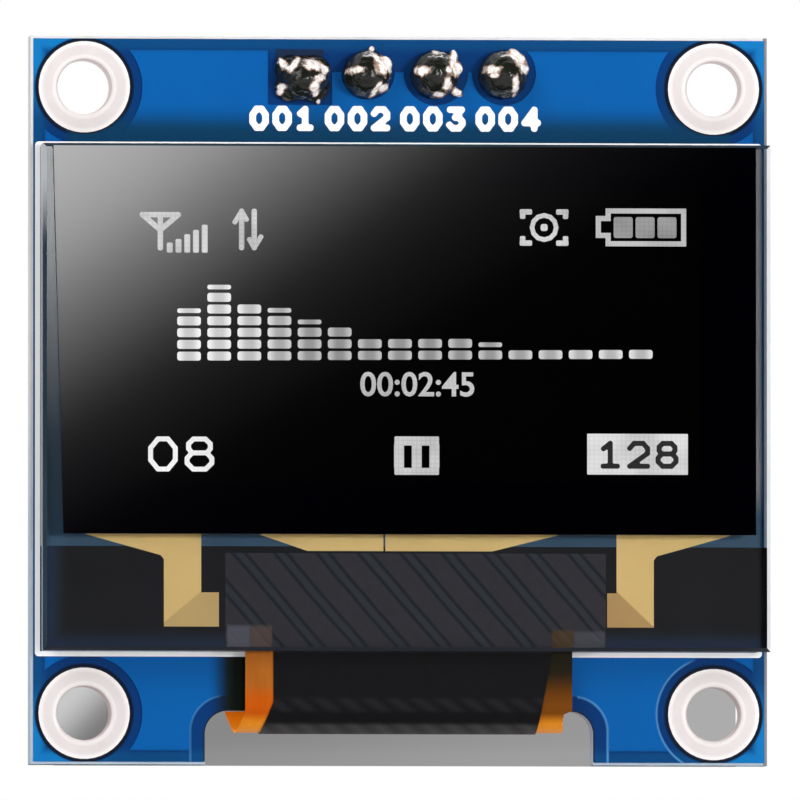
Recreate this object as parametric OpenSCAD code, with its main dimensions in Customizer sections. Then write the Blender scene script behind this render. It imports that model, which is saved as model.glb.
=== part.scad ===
// Small OLED display module: a blue circuit board with four plated mounting
// holes, a glass display panel, a folded flex cable and a four-way pin header.
// Every piece is drawn flat, with its face up, and then stood upright, so that
// the display looks along -Y and the header is at the top.

/* [Board] */
// Width of the circuit board
board_w = 27.5; // [26.2:0.1:32]
// Height of the circuit board
board_h = 27.1; // [26:0.1:32]
// Thickness of the bare glass-fibre board
board_t = 1.2; // [0.8:0.1:1.6]
// Thickness of the copper foil on each face
copper_t = 0.05; // [0.03:0.01:0.1]
// Thickness of the solder mask over the foil and over the bare board
mask_t = 0.03; // [0.02:0.01:0.06]
// Bare margin between the solder mask and the board's edges
mask_margin = 0.1; // [0.06:0.02:0.1]
// Margin between the copper and the board's edges
copper_margin = 0.55; // [0.3:0.05:0.8]

/* [Mounting holes] */
// Distance of the mounting holes from the board's sides
hole_side_inset = 2.0; // [2:0.05:2.6]
// Distance of the mounting holes from the board's top and bottom edges
hole_end_inset = 1.9; // [1.9:0.05:2.6]
// Diameter of the finished mounting holes
hole_d = 2.0; // [1.6:0.1:2.4]
// Width of the tinned ring around each hole
ring_w = 0.7; // [0.5:0.05:0.7]
// Thickness of the plating inside the holes
plating_t = 0.05; // [0.03:0.01:0.1]
// Radius of the rounded mouth of each plated hole
mouth_r = 0.14; // [0.05:0.01:0.2]
// Gap between a tinned pad and the solder mask
pad_gap = 0.06; // [0.04:0.01:0.08]
// Gap between a tinned ring and the copper around it
ring_clear = 0.5; // [0.3:0.05:0.6]

/* [Flex notch] */
// Width of the notch in the board's bottom edge
notch_w = 14.5; // [14.1:0.1:16]
// Depth of the notch
notch_depth = 2.0; // [1.6:0.1:2.4]
// Radius of the notch's inner corners
notch_r = 0.85; // [0.3:0.05:1.2]
// Width of the bare band around the notch
notch_band = 0.6; // [0.3:0.05:0.9]

/* [Pin header] */
// Distance between neighbouring pins
pin_pitch = 2.54; // [2.54:0.01:2.6]
// Side of the square pins
pin_side = 0.64; // [0.5:0.02:0.66]
// Distance of the row of pins from the board's top edge
pin_inset = 1.35; // [1.35:0.05:2]
// Sideways place of the row of pins
pin_shift = 0.1; // [0:0.05:0.3]
// Length of the pins behind their housing
pin_tail = 6.0; // [4:0.5:12]
// Length of the pin tips in front of the solder
pin_tip = 0.12; // [0.05:0.01:0.3]
// Length of the tapered pin ends
pin_taper = 0.4; // [0.2:0.05:0.6]
// Depth of the housing, front to back
housing_d = 2.54; // [2:0.1:3]
// Height of the housing
housing_h = 2.5; // [2.2:0.1:2.7]
// Size of the cut corners between the housing's cells
housing_cut = 0.4; // [0.2:0.05:0.6]
// Depth of the relief under the housing
housing_relief = 0.25; // [0.1:0.05:0.4]
// Height of that relief
relief_h = 0.84; // [0.7:0.02:1.2]
// Diameter of the plated pin holes
pin_hole_d = 1.0; // [0.96:0.02:1.1]
// Width of the pads around the pin holes
pin_pad_d = 1.75; // [1.5:0.05:1.9]
// Gap between a pin's pad and the copper around it
pin_clear = 0.35; // [0.2:0.05:0.4]
// Gap between the second pin's pad and the copper around it
supply_clear = 0.15; // [0.15:0.05:0.4]
// Height of the solder domes on the front
solder_h = 0.95; // [0.6:0.05:1.1]

/* [Display panel] */
// Distance of the display panel from the board's left side
panel_left_inset = 0.35; // [0.05:0.05:0.6]
// Distance of the panel from the board's right side
panel_right_inset = 0; // [0:0.05:0.6]
// Distance of the panel from the board's top edge
panel_drop = 4.05; // [3.95:0.05:4.4]
// Distance of the panel from the board's bottom edge
panel_foot = 4.2; // [4.05:0.05:4.6]
// Height of the contact ledge below the rear glass
ledge_h = 3.9; // [3.6:0.05:4.1]
// Thickness of the front glass, which carries the picture
front_glass_t = 0.7; // [0.5:0.05:1]
// Thickness of the rear glass, which seals the picture in
rear_glass_t = 0.5; // [0.5:0.05:0.8]
// Thickness of the film and leads between the two glasses
film_gap = 0.05; // [0.03:0.01:0.08]
// Bevel along the front glass's edges
glass_bevel = 0.14; // [0.05:0.01:0.15]
// Width of the seal between the two glasses
seal_w = 1.2; // [0.8:0.05:1.4]
// Distance of the seal from the panel's right side
seal_right_gap = 0.25; // [0.1:0.05:0.5]
// Thickness of the tape that holds the panel
tape_t = 0.2; // [0.1:0.05:0.5]
// Margin between the tape and the rear glass's edges
tape_margin = 1.5; // [1:0.1:3]

/* [Picture and polarizer] */
// Distance of the picture from the panel's sides
picture_side = 2.7; // [1.6:0.05:3]
// Distance of the picture from the panel's top edge
picture_drop = 1.7; // [1.45:0.05:2]
// Distance of the picture from the contact ledge
picture_foot = 2.39; // [1.6:0.01:3]
// Thickness of the polarizer
polarizer_t = 0.2; // [0.1:0.05:0.3]
// Distance of the polarizer from the contact ledge
polarizer_foot = 0.43; // [0.3:0.01:0.6]
// Distance of the polarizer from the panel's left side
polarizer_left_inset = 0.37; // [0.2:0.01:0.8]
// Distance of the polarizer from the panel's right side
polarizer_right_inset = 0.57; // [0.2:0.01:0.8]
// Distance of the polarizer from the panel's top edge
polarizer_drop = 0.1; // [0.05:0.01:0.2]
// How far the polarizer's left edge is cut out of square
polarizer_skew = 0.38; // [0:0.02:0.5]

/* [Leads on the ledge] */
// Sideways place of the leads and the flex cable
lead_x = 0.3; // [0.1:0.05:0.5]
// Gap between the cable's head and the legs of the outer leads, before the head's shift
lead_gap = 0.65; // [0.5:0.05:0.9]
// Width of the outer leads
lead_w = 1.39; // [1:0.05:1.8]
// Distance of the left lead's pointed arm from the panel's side
lead_left_tip = 1.65; // [0.6:0.05:2.5]
// Distance of the right lead's pointed arm from the panel's side
lead_right_tip = 1.45; // [0.6:0.05:2.5]
// Height of each arm where it joins its lead
lead_shoulder = 0.8; // [0.7:0.02:1.2]
// Size of the filled corner between each arm and its leg
lead_corner = 0.12; // [0.05:0.01:0.3]
// Distance from the polarizer down to the lead's foot
lead_foot_drop = 2.15; // [1.8:0.05:2.4]
// Height of the lead's foot
lead_foot_h = 1.27; // [1:0.01:1.35]
// Half of the middle lead's width at its top
middle_top = 5.55; // [5:0.05:6]
// Half of the middle lead's width at its bottom
middle_bottom = 3.45; // [3:0.05:4]
// Height of the middle lead below the polarizer
middle_h = 0.6; // [0.4:0.01:0.62]
// How far the middle lead's bottom stands to the left of its top
middle_lean = 0.34; // [0:0.02:0.5]
// Place of the slot that splits the middle lead
middle_slot_x = -0.92; // [-2:0.02:2]
// Width of that slot
middle_slot_w = 0.07; // [0.05:0.01:0.12]
// How far the leads run up under the polarizer
lead_hidden = 0.3; // [0.1:0.05:0.5]
// Thickness of the black resin behind the ledge
resin_t = 0.42; // [0.36:0.01:0.45]
// Gap between the resin and the panel's left side
resin_left_gap = 0.2; // [0.1:0.02:0.6]
// Gap between the resin and the panel's bottom edge
resin_foot_gap = 0.12; // [0.05:0.01:0.2]

/* [Driver chip] */
// Length of the driver chip
chip_w = 7.0; // [6:0.1:9]
// Height of the driver chip
chip_h = 1.2; // [0.8:0.1:1.4]
// Thickness of the driver chip
chip_t = 0.2; // [0.15:0.01:0.22]

/* [Flex cable] */
// Thickness of the amber film
film_t = 0.08; // [0.05:0.01:0.09]
// Thickness of the black cover layer
cover_t = 0.05; // [0.03:0.01:0.06]
// Width of the cable's head behind the ledge
head_w = 14.2; // [13.6:0.1:14.3]
// Sideways place of the head beside the neck
head_shift = 0.25; // [0:0.05:0.3]
// Gap between the head and the middle lead
head_gap = 0.08; // [0.05:0.01:0.15]
// Gap between the head and the left lead's foot
left_foot_gap = 0.24; // [0.03:0.01:0.3]
// Gap between the head and the right lead's foot
right_foot_gap = 0.05; // [0.03:0.01:0.12]
// Width of the cable's neck
neck_w = 12.2; // [11:0.1:12.6]
// Width of the bare amber strip on the neck's left side
strip_left = 1.05; // [0.6:0.05:1.4]
// Width of the bare amber strip on the neck's right side
strip_right = 0.75; // [0.6:0.05:1.4]
// How far the black cover's left edge leans to the left at the fold
cover_lean = 0.45; // [0:0.05:0.5]
// How far its right edge leans to the left
cover_right_lean = 0.55; // [0:0.05:0.6]
// Depth of the fold below the notch's top edge
fold_drop = 0.85; // [0.8:0.05:1.1]
// How far the fold is wider than the neck on the left
fold_left_step = 0.3; // [0:0.05:0.4]
// How far the fold is narrower than the neck on the right
fold_right_step = 0.3; // [0.1:0.05:0.4]
// Depth of the nick in the fold's right edge
fold_nick = 0.12; // [0.05:0.01:0.2]
// How far the tail behind the board is wider than the neck on the left
tail_left_step = 0.6; // [0.4:0.05:0.8]
// How far the tail is narrower than the neck on the right
tail_right_step = 0.1; // [0:0.05:0.3]
// How far the tail reaches up the back of the board
tail_len = 6.4; // [6:0.1:7.4]
// Length of the tail that the black cover leaves bare
tail_bare = 2.6; // [2:0.1:3.4]
// Thickness of the tape under the tail
tail_tape_t = 0.1; // [0.1:0.01:0.2]
// Margin between that tape and the tail's sides
tail_tape_margin = 0.5; // [0.2:0.1:1.5]
// Number of soldered contacts
contact_count = 30; // [24:1:30]
// Distance between neighbouring contacts
contact_pitch = 0.4; // [0.38:0.01:0.42]
// Width of each contact
contact_w = 0.22; // [0.15:0.01:0.26]
// Length of each contact on the film and on the board
contact_len = 0.8; // [0.5:0.05:1]
// Thickness of the solder on each contact
contact_solder = 0.06; // [0.04:0.01:0.1]

/* [Parts on the back] */
// Length of the chip capacitors and resistors
chip_part_l = 1.6; // [1.4:0.05:1.7]
// Width of the chip capacitors and resistors
chip_part_w = 0.8; // [0.6:0.05:0.9]
// Height of the chip capacitors
capacitor_t = 0.8; // [0.5:0.05:0.9]
// Height of the chip resistors
resistor_t = 0.45; // [0.35:0.05:0.6]
// Length of the metal ends of the chip parts
end_cap = 0.3; // [0.2:0.05:0.4]
// How far the metal ends stand proud of the body
end_proud = 0.03; // [0.02:0.01:0.05]
// How far each soldering pad reaches past its chip part
pad_reach = 0.35; // [0.2:0.05:0.4]
// Margin of each soldering pad beside its chip part or leg
pad_margin = 0.05; // [0.02:0.01:0.1]
// Bare height of the metal ends above their solder
fillet_bare = 0.2; // [0.1:0.05:0.3]
// Length of the voltage regulator's body
regulator_l = 2.9; // [2.8:0.05:3]
// Width of the voltage regulator's body
regulator_w = 1.3; // [1.2:0.05:1.4]
// Height of the voltage regulator's body
regulator_t = 0.95; // [0.8:0.05:1.1]
// Slope of the regulator's sides, above and below its legs
regulator_draft = 0.08; // [0.04:0.01:0.15]
// Distance between the regulator's neighbouring legs
leg_pitch = 0.95; // [0.9:0.01:1]
// Clearance under the voltage regulator's body
regulator_lift = 0.1; // [0.05:0.01:0.15]
// Width of the regulator's legs
leg_w = 0.4; // [0.3:0.05:0.5]
// Thickness of the regulator's legs
leg_t = 0.12; // [0.1:0.01:0.2]
// Length of each leg's foot
leg_foot = 0.4; // [0.3:0.05:0.5]
// How far each leg stands out before it turns down
leg_out = 0.25; // [0.15:0.05:0.35]
// Distance from the header's housing down to the first row of parts
row_drop = 1.1; // [0.9:0.1:1.4]
// Distance between the first row and the second
row_step_1 = 3.1; // [2.9:0.1:3.4]
// Distance between the second row and the third
row_step_2 = 2.6; // [2.4:0.1:2.8]
// Distance from the second row down to the pair of empty pads
spare_drop = 1.7; // [1.5:0.1:2.5]
// Distance of the outer columns of parts from the board's sides
column_inset = 5.15; // [4.7:0.05:5.7]

/* [Hidden] */
$fn = 48;
pin_count = 4;

// A cut reaches this far past the faces that it opens
past = 1;

// Heights above the bare board's front face, and depths below its back face
skin = copper_t + mask_t;
front = skin;
back = -board_t - skin;
rear_glass_z = front + tape_t;
film_z = rear_glass_z + rear_glass_t;
front_glass_z = film_z + film_gap;
polarizer_z = front_glass_z + front_glass_t;

// The board's mounting holes, its notch and its row of pins
hole_r = hole_d / 2;
ring_r = hole_r + ring_w;
hole_x = board_w / 2 - hole_side_inset;
hole_y = board_h / 2 - hole_end_inset;
HOLES = [[-hole_x, hole_y], [hole_x, hole_y], [-hole_x, -hole_y], [hole_x, -hole_y]];
notch_top = notch_depth - board_h / 2;
pin_y = board_h / 2 - pin_inset;
PINS = [for (i = [0 : pin_count - 1])
    [pin_shift + (i - (pin_count - 1) / 2) * pin_pitch, pin_y]];

// Edges of the panel, the picture and the polarizer
panel_top = board_h / 2 - panel_drop;
panel_bottom = panel_foot - board_h / 2;
panel_left = panel_left_inset - board_w / 2;
panel_right = board_w / 2 - panel_right_inset;
ledge_top = panel_bottom + ledge_h;
polarizer_top = panel_top - polarizer_drop;
polarizer_bottom = ledge_top + polarizer_foot;

// Edges of the leads on the ledge
foot_top = polarizer_bottom - lead_foot_drop;
foot_bottom = foot_top - lead_foot_h;
middle_foot = polarizer_bottom - middle_h;
lead_top = polarizer_bottom + lead_hidden;

// The flex cable, from its head behind the ledge to its tail behind the board
flex_t = film_t + cover_t;
head_top = middle_foot - head_gap;
head_left = lead_x + head_shift - head_w / 2;
head_right = lead_x + head_shift + head_w / 2;
neck_left = lead_x - neck_w / 2;
neck_right = lead_x + neck_w / 2;
fold_left = neck_left - fold_left_step;
tail_left = neck_left - tail_left_step;
tail_right = neck_right - tail_right_step;
flex_front = front_glass_z;
flex_back = back - tail_tape_t - flex_t;
fold_r = (flex_front - flex_back) / 2;
fold_z = (flex_front + flex_back) / 2;
fold_bottom = notch_top - fold_drop;
fold_y = fold_bottom + fold_r;
tail_top = fold_y + tail_len;
contact_x = (tail_left + tail_right) / 2;

// Parts on the back, as [x, y, upright or not]; the rows lie between header and tail
row_high = pin_y - housing_h / 2 - row_drop - regulator_w / 2 - leg_out - leg_foot;
row_mid = row_high - row_step_1;
row_low = row_mid - row_step_2;
column_x = board_w / 2 - column_inset;
CAPACITORS = [[-5.2, row_high, true], [0.8, row_high, true], [column_x, row_mid, true],
              [6.1, row_low, false], [-2.4, row_low, false]];
RESISTORS = [[4.6, row_high, true], [6.4, row_high, true], [4.9, row_mid, true],
             [-column_x, row_mid, false], [1.9, row_low, false]];
// A pair of pads that stays empty, for the module's other address
SPARE_PAIR = [-column_x, row_mid - spare_drop, false];
// The regulator's place, and its legs as [along the body, side of the body]
regulator_at = [-2.2, row_high];
LEGS = [[-leg_pitch, -1], [leg_pitch, -1], [0, 1]];

// Turns a flat drawing upright: up becomes +Z and the front faces -Y
module stand() {
    rotate([90, 0, 0]) children();
}

// A rectangle between two corners
module box2(left, bottom, right, top) {
    translate([left, bottom]) square([right - left, top - bottom]);
}

// A flat shape between two heights
module slab(low, high) {
    translate([0, 0, low]) linear_extrude(high - low) children();
}

// ---- circuit board ----

// The notch, or the notch and the bare band around it
module notch_area(band = 0) {
    half = notch_w / 2 + band;
    r = notch_r + band;
    top = notch_top + band;
    low = -board_h / 2 - past;
    box2(-half + r, low, half - r, top);
    box2(-half, low, half, top - r);
    for (side = [-1, 1]) translate([side * (half - r), top - r]) circle(r = r);
}

// A pin's pad, square at the first pin
module pad_area(i, grow = 0) {
    d = pin_pad_d + 2 * grow;
    if (i == 0) square(d, center = true);
    else circle(d = d);
}

// The board's face, with all its holes
module board_face() {
    difference() {
        square([board_w, board_h], center = true);
        notch_area();
        for (at = HOLES) translate(at) circle(r = hole_r + plating_t);
        for (at = PINS) translate(at) circle(d = pin_hole_d + 2 * plating_t);
    }
}

// No copper lies round a mounting hole, nor between it and the board's corner
module corner_clearance(at, r) {
    translate(at) circle(r = r);
    translate(at) scale([sign(at[0]), sign(at[1])]) {
        box2(0, 0, board_w, r);
        box2(0, 0, r, board_h);
    }
}

// No copper lies round the pins, nor between them and the board's top edge
module header_clearance(grow) {
    for (i = [0 : pin_count - 1]) translate(PINS[i])
        pad_area(i, (i == 1 ? supply_clear : pin_clear) - grow);
    box2(PINS[0][0], pin_y + grow, PINS[pin_count - 1][0], board_h);
}

// The copper, grown by the mask that wraps it
module copper_area(grow = 0) {
    edge = 2 * (copper_margin - grow);
    difference() {
        square([board_w - edge, board_h - edge], center = true);
        notch_area(notch_band - grow);
        for (at = HOLES) corner_clearance(at, ring_r + ring_clear - grow);
        header_clearance(grow);
    }
}

// The places on the back that the mask and the copper leave free
module back_openings(grow = 0) {
    for (at = CAPACITORS) part_pads(at, grow);
    for (at = RESISTORS) part_pads(at, grow);
    part_pads(SPARE_PAIR, grow);
    regulator_pads(grow);
    contact_block(grow);
}

module board_core() {
    color([0.86, 0.84, 0.72]) stand() slab(-board_t, 0) board_face();
}

module front_copper() {
    color([0.8, 0.5, 0.3]) stand() slab(0, copper_t) copper_area();
}

module back_copper() {
    color([0.8, 0.5, 0.3]) stand() slab(-board_t - copper_t, -board_t) difference() {
        copper_area();
        back_openings(pad_gap);
    }
}

// The mask is thin on the bare board and steps up over the copper
module mask_layer(on_back) {
    difference() {
        union() {
            slab(0, mask_t)
                square([board_w - 2 * mask_margin, board_h - 2 * mask_margin], center = true);
            slab(0, skin) copper_area(mask_t);
            if (on_back) slab(0, skin) back_openings(pad_gap + mask_t);
        }
        slab(-past, copper_t) difference() {
            copper_area();
            if (on_back) back_openings(pad_gap);
        }
        slab(-past, past) notch_area(mask_margin / 2);
        slab(-past, past) for (at = HOLES) translate(at) circle(r = ring_r + pad_gap);
        slab(-past, past) for (i = [0 : pin_count - 1]) translate(PINS[i]) pad_area(i);
        if (on_back) slab(-past, past) back_openings();
    }
}

module front_mask() {
    color([0.06, 0.4, 0.75]) stand() mask_layer(false);
}

module back_mask() {
    color([0.06, 0.4, 0.75]) stand() translate([0, 0, -board_t]) mirror([0, 0, 1])
        mask_layer(true);
}

// A tinned ring on both faces, joined by the plated hole, with rounded mouths
module mounting_ring(i) {
    color([0.92, 0.9, 0.88]) stand() translate(HOLES[i]) rotate_extrude()
        difference() {
            union() {
                box2(hole_r, back, hole_r + plating_t, front);
                box2(hole_r, 0, ring_r, front);
                box2(hole_r, back, ring_r, -board_t);
            }
            for (face = [0, 1]) translate([0, (front + back) / 2]) mirror([0, face])
                translate([hole_r, (front - back) / 2]) mouth_cut();
        }
}

// What rounding the mouth of a hole takes off, drawn at the mouth's corner
module mouth_cut() {
    difference() {
        box2(-past, -mouth_r, mouth_r, past);
        translate([mouth_r, -mouth_r]) circle(r = mouth_r);
    }
}

// ---- pin header ----

// The plated barrel of one pin, with a pad on each face
module pin_barrel(i) {
    color([0.9, 0.88, 0.84]) stand() translate(PINS[i]) difference() {
        union() {
            slab(0, front) pad_area(i);
            slab(back, -board_t) pad_area(i);
            slab(-board_t, 0) circle(d = pin_hole_d + 2 * plating_t);
        }
        slab(back - past, front + past) circle(d = pin_hole_d);
    }
}

// A square pin with four-sided tapered ends
module header_pin(i) {
    low = back - housing_d - pin_tail;
    high = front + solder_h + pin_tip;
    half = pin_side / 2;
    tip = half / 2;
    side_view = [[-tip, low], [tip, low], [half, low + pin_taper], [half, high - pin_taper],
                 [tip, high], [-tip, high], [-half, high - pin_taper], [-half, low + pin_taper]];
    color([0.9, 0.75, 0.4]) stand() translate(PINS[i]) intersection() {
        rotate([90, 0, 0]) linear_extrude(pin_side, center = true) polygon(side_view);
        rotate([90, 0, 90]) linear_extrude(pin_side, center = true) polygon(side_view);
    }
}

// A dome of solder on the front pad, with the plug that fills the barrel
module solder_joint(i) {
    base = pin_pad_d / 2;
    ball = (base * base + solder_h * solder_h) / (2 * solder_h);
    color([0.62, 0.62, 0.64]) stand() translate(PINS[i]) difference() {
        rotate_extrude() {
            intersection() {
                translate([0, front + solder_h - ball]) circle(r = ball);
                box2(0, front, base, front + solder_h);
            }
            box2(0, back, pin_hole_d / 2, front);
        }
        slab(back - past, front + solder_h - pin_taper + pin_tip) square(pin_side, center = true);
        header_pin_tip(i);
    }
}

// The tapered tip that stands inside a dome of solder
module header_pin_tip(i) {
    high = front + solder_h + pin_tip;
    half = pin_side / 2;
    tip = half / 2;
    tip_view = [[-half, high - pin_taper], [half, high - pin_taper], [tip, high], [-tip, high]];
    intersection() {
        rotate([90, 0, 0]) linear_extrude(pin_side, center = true) polygon(tip_view);
        rotate([90, 0, 90]) linear_extrude(pin_side, center = true) polygon(tip_view);
    }
}

// The outline of the housing: a row of cells with cut corners
module housing_face() {
    half = pin_pitch / 2;
    tall = housing_h / 2;
    cut = housing_cut;
    box2(PINS[0][0], pin_y + cut - tall, PINS[pin_count - 1][0], pin_y + tall - cut);
    for (at = PINS) translate(at) polygon([
        [-half, cut - tall], [cut - half, -tall], [half - cut, -tall], [half, cut - tall],
        [half, tall - cut], [half - cut, tall], [cut - half, tall], [-half, tall - cut]]);
}

module header_housing() {
    wide = pin_count * pin_pitch;
    color([0.08, 0.08, 0.08]) stand() difference() {
        slab(back - housing_d, back) housing_face();
        slab(back - housing_d - past, back + past)
            for (at = PINS) translate(at) square(pin_side, center = true);
        slab(back - housing_relief, back + past) translate([0, pin_y])
            square([wide + 2 * past, relief_h], center = true);
    }
}

// ---- display panel ----

module panel_tape() {
    color([0.93, 0.93, 0.9]) stand() slab(front, rear_glass_z)
        box2(panel_left + tape_margin, ledge_top + tape_margin,
             panel_right - tape_margin, panel_top - tape_margin);
}

module rear_glass() {
    color([0.7, 0.8, 0.85, 0.5]) stand() slab(rear_glass_z, film_z)
        box2(panel_left, ledge_top, panel_right, panel_top);
}

// The seal runs round between the glasses and lets the leads through
module glass_seal() {
    color([0.3, 0.33, 0.36]) stand() slab(film_z, front_glass_z) difference() {
        box2(panel_left, ledge_top, panel_right - seal_right_gap, panel_top);
        box2(panel_left + seal_w, ledge_top + seal_w, panel_right - seal_w, panel_top - seal_w);
        outer_lead_area(-1);
        outer_lead_area(1);
        middle_lead_area();
    }
}

module picture_film() {
    color([0.02, 0.02, 0.03]) stand() slab(film_z, front_glass_z)
        box2(panel_left + picture_side, ledge_top + picture_foot,
             panel_right - picture_side, panel_top - picture_drop);
}

// The front glass has a ground bevel round its front edge
module front_glass() {
    color([0.75, 0.85, 0.9, 0.4]) stand() intersection() {
        rotate([90, 0, 0]) linear_extrude(2 * board_h, center = true)
            bevelled(panel_left, panel_right);
        rotate([90, 0, 90]) linear_extrude(2 * board_w, center = true)
            bevelled(panel_bottom, panel_top);
    }
}

// The cross-section of the front glass between two of its edges
module bevelled(start, end) {
    low = front_glass_z;
    high = polarizer_z;
    bevel = glass_bevel;
    polygon([[start, low], [end, low], [end, high - bevel], [end - bevel, high],
             [start + bevel, high], [start, high - bevel]]);
}

module polarizer() {
    color([0.02, 0.02, 0.02]) stand() slab(polarizer_z, polarizer_z + polarizer_t) polygon([
        [panel_left + polarizer_left_inset, polarizer_top],
        [panel_right - polarizer_right_inset, polarizer_top],
        [panel_right - polarizer_right_inset, polarizer_bottom],
        [panel_left + polarizer_left_inset + polarizer_skew, polarizer_bottom]]);
}

// ---- leads, resin and driver chip on the ledge ----

// One outer lead: a pointed arm, a leg, and a foot that reaches to the flex cable
module outer_lead_area(side) {
    inner = head_w / 2 + lead_gap;
    outer = inner + lead_w;
    tip = side < 0 ? lead_x - panel_left - lead_left_tip : panel_right - lead_right_tip - lead_x;
    shoulder = polarizer_bottom - lead_shoulder;
    slope = lead_shoulder / (tip - outer);
    foot_end = side < 0 ? lead_x - head_left + left_foot_gap
        : head_right + right_foot_gap - lead_x;
    translate([lead_x, 0]) scale([side, 1]) polygon([
        [foot_end, foot_bottom], [outer, foot_bottom], [outer, shoulder - lead_corner],
        [outer + lead_corner, shoulder + slope * lead_corner], [tip, polarizer_bottom],
        [tip, lead_top], [inner, lead_top], [inner, foot_top], [foot_end, foot_top]]);
}

// Both halves of the middle lead
module middle_lead_area() {
    translate([lead_x, 0]) difference() {
        polygon([[-middle_top, lead_top], [middle_top, lead_top],
                 [middle_top, polarizer_bottom], [middle_bottom - middle_lean, middle_foot],
                 [-middle_bottom - middle_lean, middle_foot], [-middle_top, polarizer_bottom]]);
        translate([middle_slot_x, 0]) box2(-middle_slot_w / 2, middle_foot - past,
                                           middle_slot_w / 2, lead_top + past);
    }
}

module outer_lead(side) {
    color([0.85, 0.7, 0.42]) stand() slab(film_z, front_glass_z) outer_lead_area(side);
}

module middle_lead(side) {
    slot = lead_x + middle_slot_x;
    color([0.85, 0.7, 0.42]) stand() slab(film_z, front_glass_z) intersection() {
        middle_lead_area();
        box2(side < 0 ? slot - board_w : slot, middle_foot - past,
             side < 0 ? slot : slot + board_w, lead_top + past);
    }
}

module resin_area() {
    box2(panel_left + resin_left_gap, panel_bottom + resin_foot_gap, panel_right, ledge_top);
}

// Black resin seals the chip, the cable's head and the leads from behind
module ledge_resin() {
    under_flex = front_glass_z - flex_t;
    color([0.1, 0.1, 0.11]) stand() {
        difference() {
            slab(front_glass_z - resin_t, under_flex) resin_area();
            chip_block();
        }
        slab(under_flex, film_z) difference() {
            resin_area();
            flex_front_area();
        }
        slab(film_z, front_glass_z) difference() {
            resin_area();
            flex_front_area();
            outer_lead_area(-1);
            outer_lead_area(1);
            middle_lead_area();
        }
    }
}

module chip_block() {
    high = front_glass_z - flex_t;
    middle = (head_top + panel_bottom) / 2;
    slab(high - chip_t, high) translate([lead_x, middle]) square([chip_w, chip_h], center = true);
}

module driver_chip() {
    color([0.15, 0.15, 0.18]) stand() chip_block();
}

// ---- flex cable ----

// Side view of one layer of the cable: down the front, round the fold, up the back
module flex_side(inset, thick, top) {
    r = fold_r - inset;
    translate([fold_y, fold_z]) {
        difference() {
            circle(r = r);
            circle(r = r - thick);
            box2(0, -2 * fold_r, 2 * fold_r, 2 * fold_r);
        }
        box2(0, r - thick, head_top - fold_y, r);
        box2(0, -r, top - fold_y, thick - r);
    }
}

// The layer, as wide as the cable ever is
module flex_strip(inset, thick, top) {
    rotate([90, 0, 90]) linear_extrude(board_w, center = true)
        flex_side(inset, thick, top);
}

// The film as seen from the front: head, neck, and the fold, which steps to the left
module flex_front_area() {
    right = neck_right - fold_right_step;
    nick_y = notch_top - fold_drop / 2;
    box2(head_left, panel_bottom, head_right, head_top);
    polygon([
        [neck_left, panel_bottom], [neck_left, notch_top], [fold_left, fold_bottom],
        [fold_left, fold_bottom - past], [right, fold_bottom - past], [right, fold_bottom],
        [right, nick_y - fold_nick], [right - fold_nick, nick_y],
        [right, notch_top - fold_nick], [neck_right, notch_top], [neck_right, panel_bottom]]);
}

// The film as seen from the back: the wider tail, drawn in at the fold
module flex_back_area() {
    right = neck_right - fold_right_step;
    polygon([
        [fold_left, fold_bottom - past], [fold_left, fold_bottom], [tail_left, notch_top],
        [tail_left, tail_top], [tail_right, tail_top], [tail_right, notch_top],
        [right, fold_bottom], [right, fold_bottom - past]]);
}

// The black cover as seen from the front
module cover_front_area() {
    left = neck_left + strip_left;
    right = neck_right - strip_right;
    box2(head_left, panel_bottom, head_right, head_top);
    low = fold_bottom - past;
    polygon([[left, panel_bottom], [right, panel_bottom], [right - cover_right_lean, fold_bottom],
             [right - cover_right_lean, low], [left - cover_lean, low],
             [left - cover_lean, fold_bottom], [left, fold_y]]);
}

// The black cover as seen from the back
module cover_back_area() {
    left = neck_left + strip_left - cover_lean;
    right = neck_right - strip_right - cover_right_lean;
    box2(left, fold_bottom - past, right, tail_top - tail_bare);
}

module flex_film() {
    color([0.9, 0.5, 0.1]) stand() intersection() {
        flex_strip(cover_t, film_t, tail_top);
        union() {
            slab(fold_z, front_glass_z + past) flex_front_area();
            slab(flex_back - past, fold_z) flex_back_area();
        }
    }
}

module flex_cover() {
    color([0.07, 0.07, 0.08]) stand() intersection() {
        flex_strip(0, cover_t, tail_top - tail_bare);
        union() {
            slab(fold_z, front_glass_z + past) cover_front_area();
            slab(flex_back - past, fold_z) cover_back_area();
        }
    }
}

module tail_tape() {
    color([0.93, 0.93, 0.9]) stand() slab(back - tail_tape_t, back)
        box2(tail_left + tail_tape_margin, notch_top + notch_band,
             tail_right - tail_tape_margin, tail_top - tail_bare);
}

// The bare window in the mask where the tail's contacts are soldered
module contact_block(grow = 0) {
    wide = (contact_count - 1) * contact_pitch + contact_w + 2 * pad_gap;
    translate([contact_x, tail_top])
        square([wide + 2 * grow, 2 * (contact_len + grow)], center = true);
}

// Solder bridges from the board's pads onto the end of the film
module tail_contacts() {
    under = back - tail_tape_t;
    over = under - film_t;
    side_view = [
        [-contact_len, -board_t], [contact_len, -board_t], [contact_len, back],
        [contact_len / 2, over - contact_solder], [-contact_len, over - contact_solder],
        [-contact_len, over], [0, over], [0, under], [-contact_len, under]];
    color([0.8, 0.8, 0.82]) stand() for (i = [0 : contact_count - 1])
        translate([contact_x + (i - (contact_count - 1) / 2) * contact_pitch, tail_top])
            rotate([90, 0, 90]) linear_extrude(contact_w, center = true) polygon(side_view);
}

// ---- parts on the back ----

// Places children at a chip part's spot, turned upright where asked
module at_part(spot) {
    translate([spot[0], spot[1]]) rotate(spot[2] ? 90 : 0) children();
}

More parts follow.
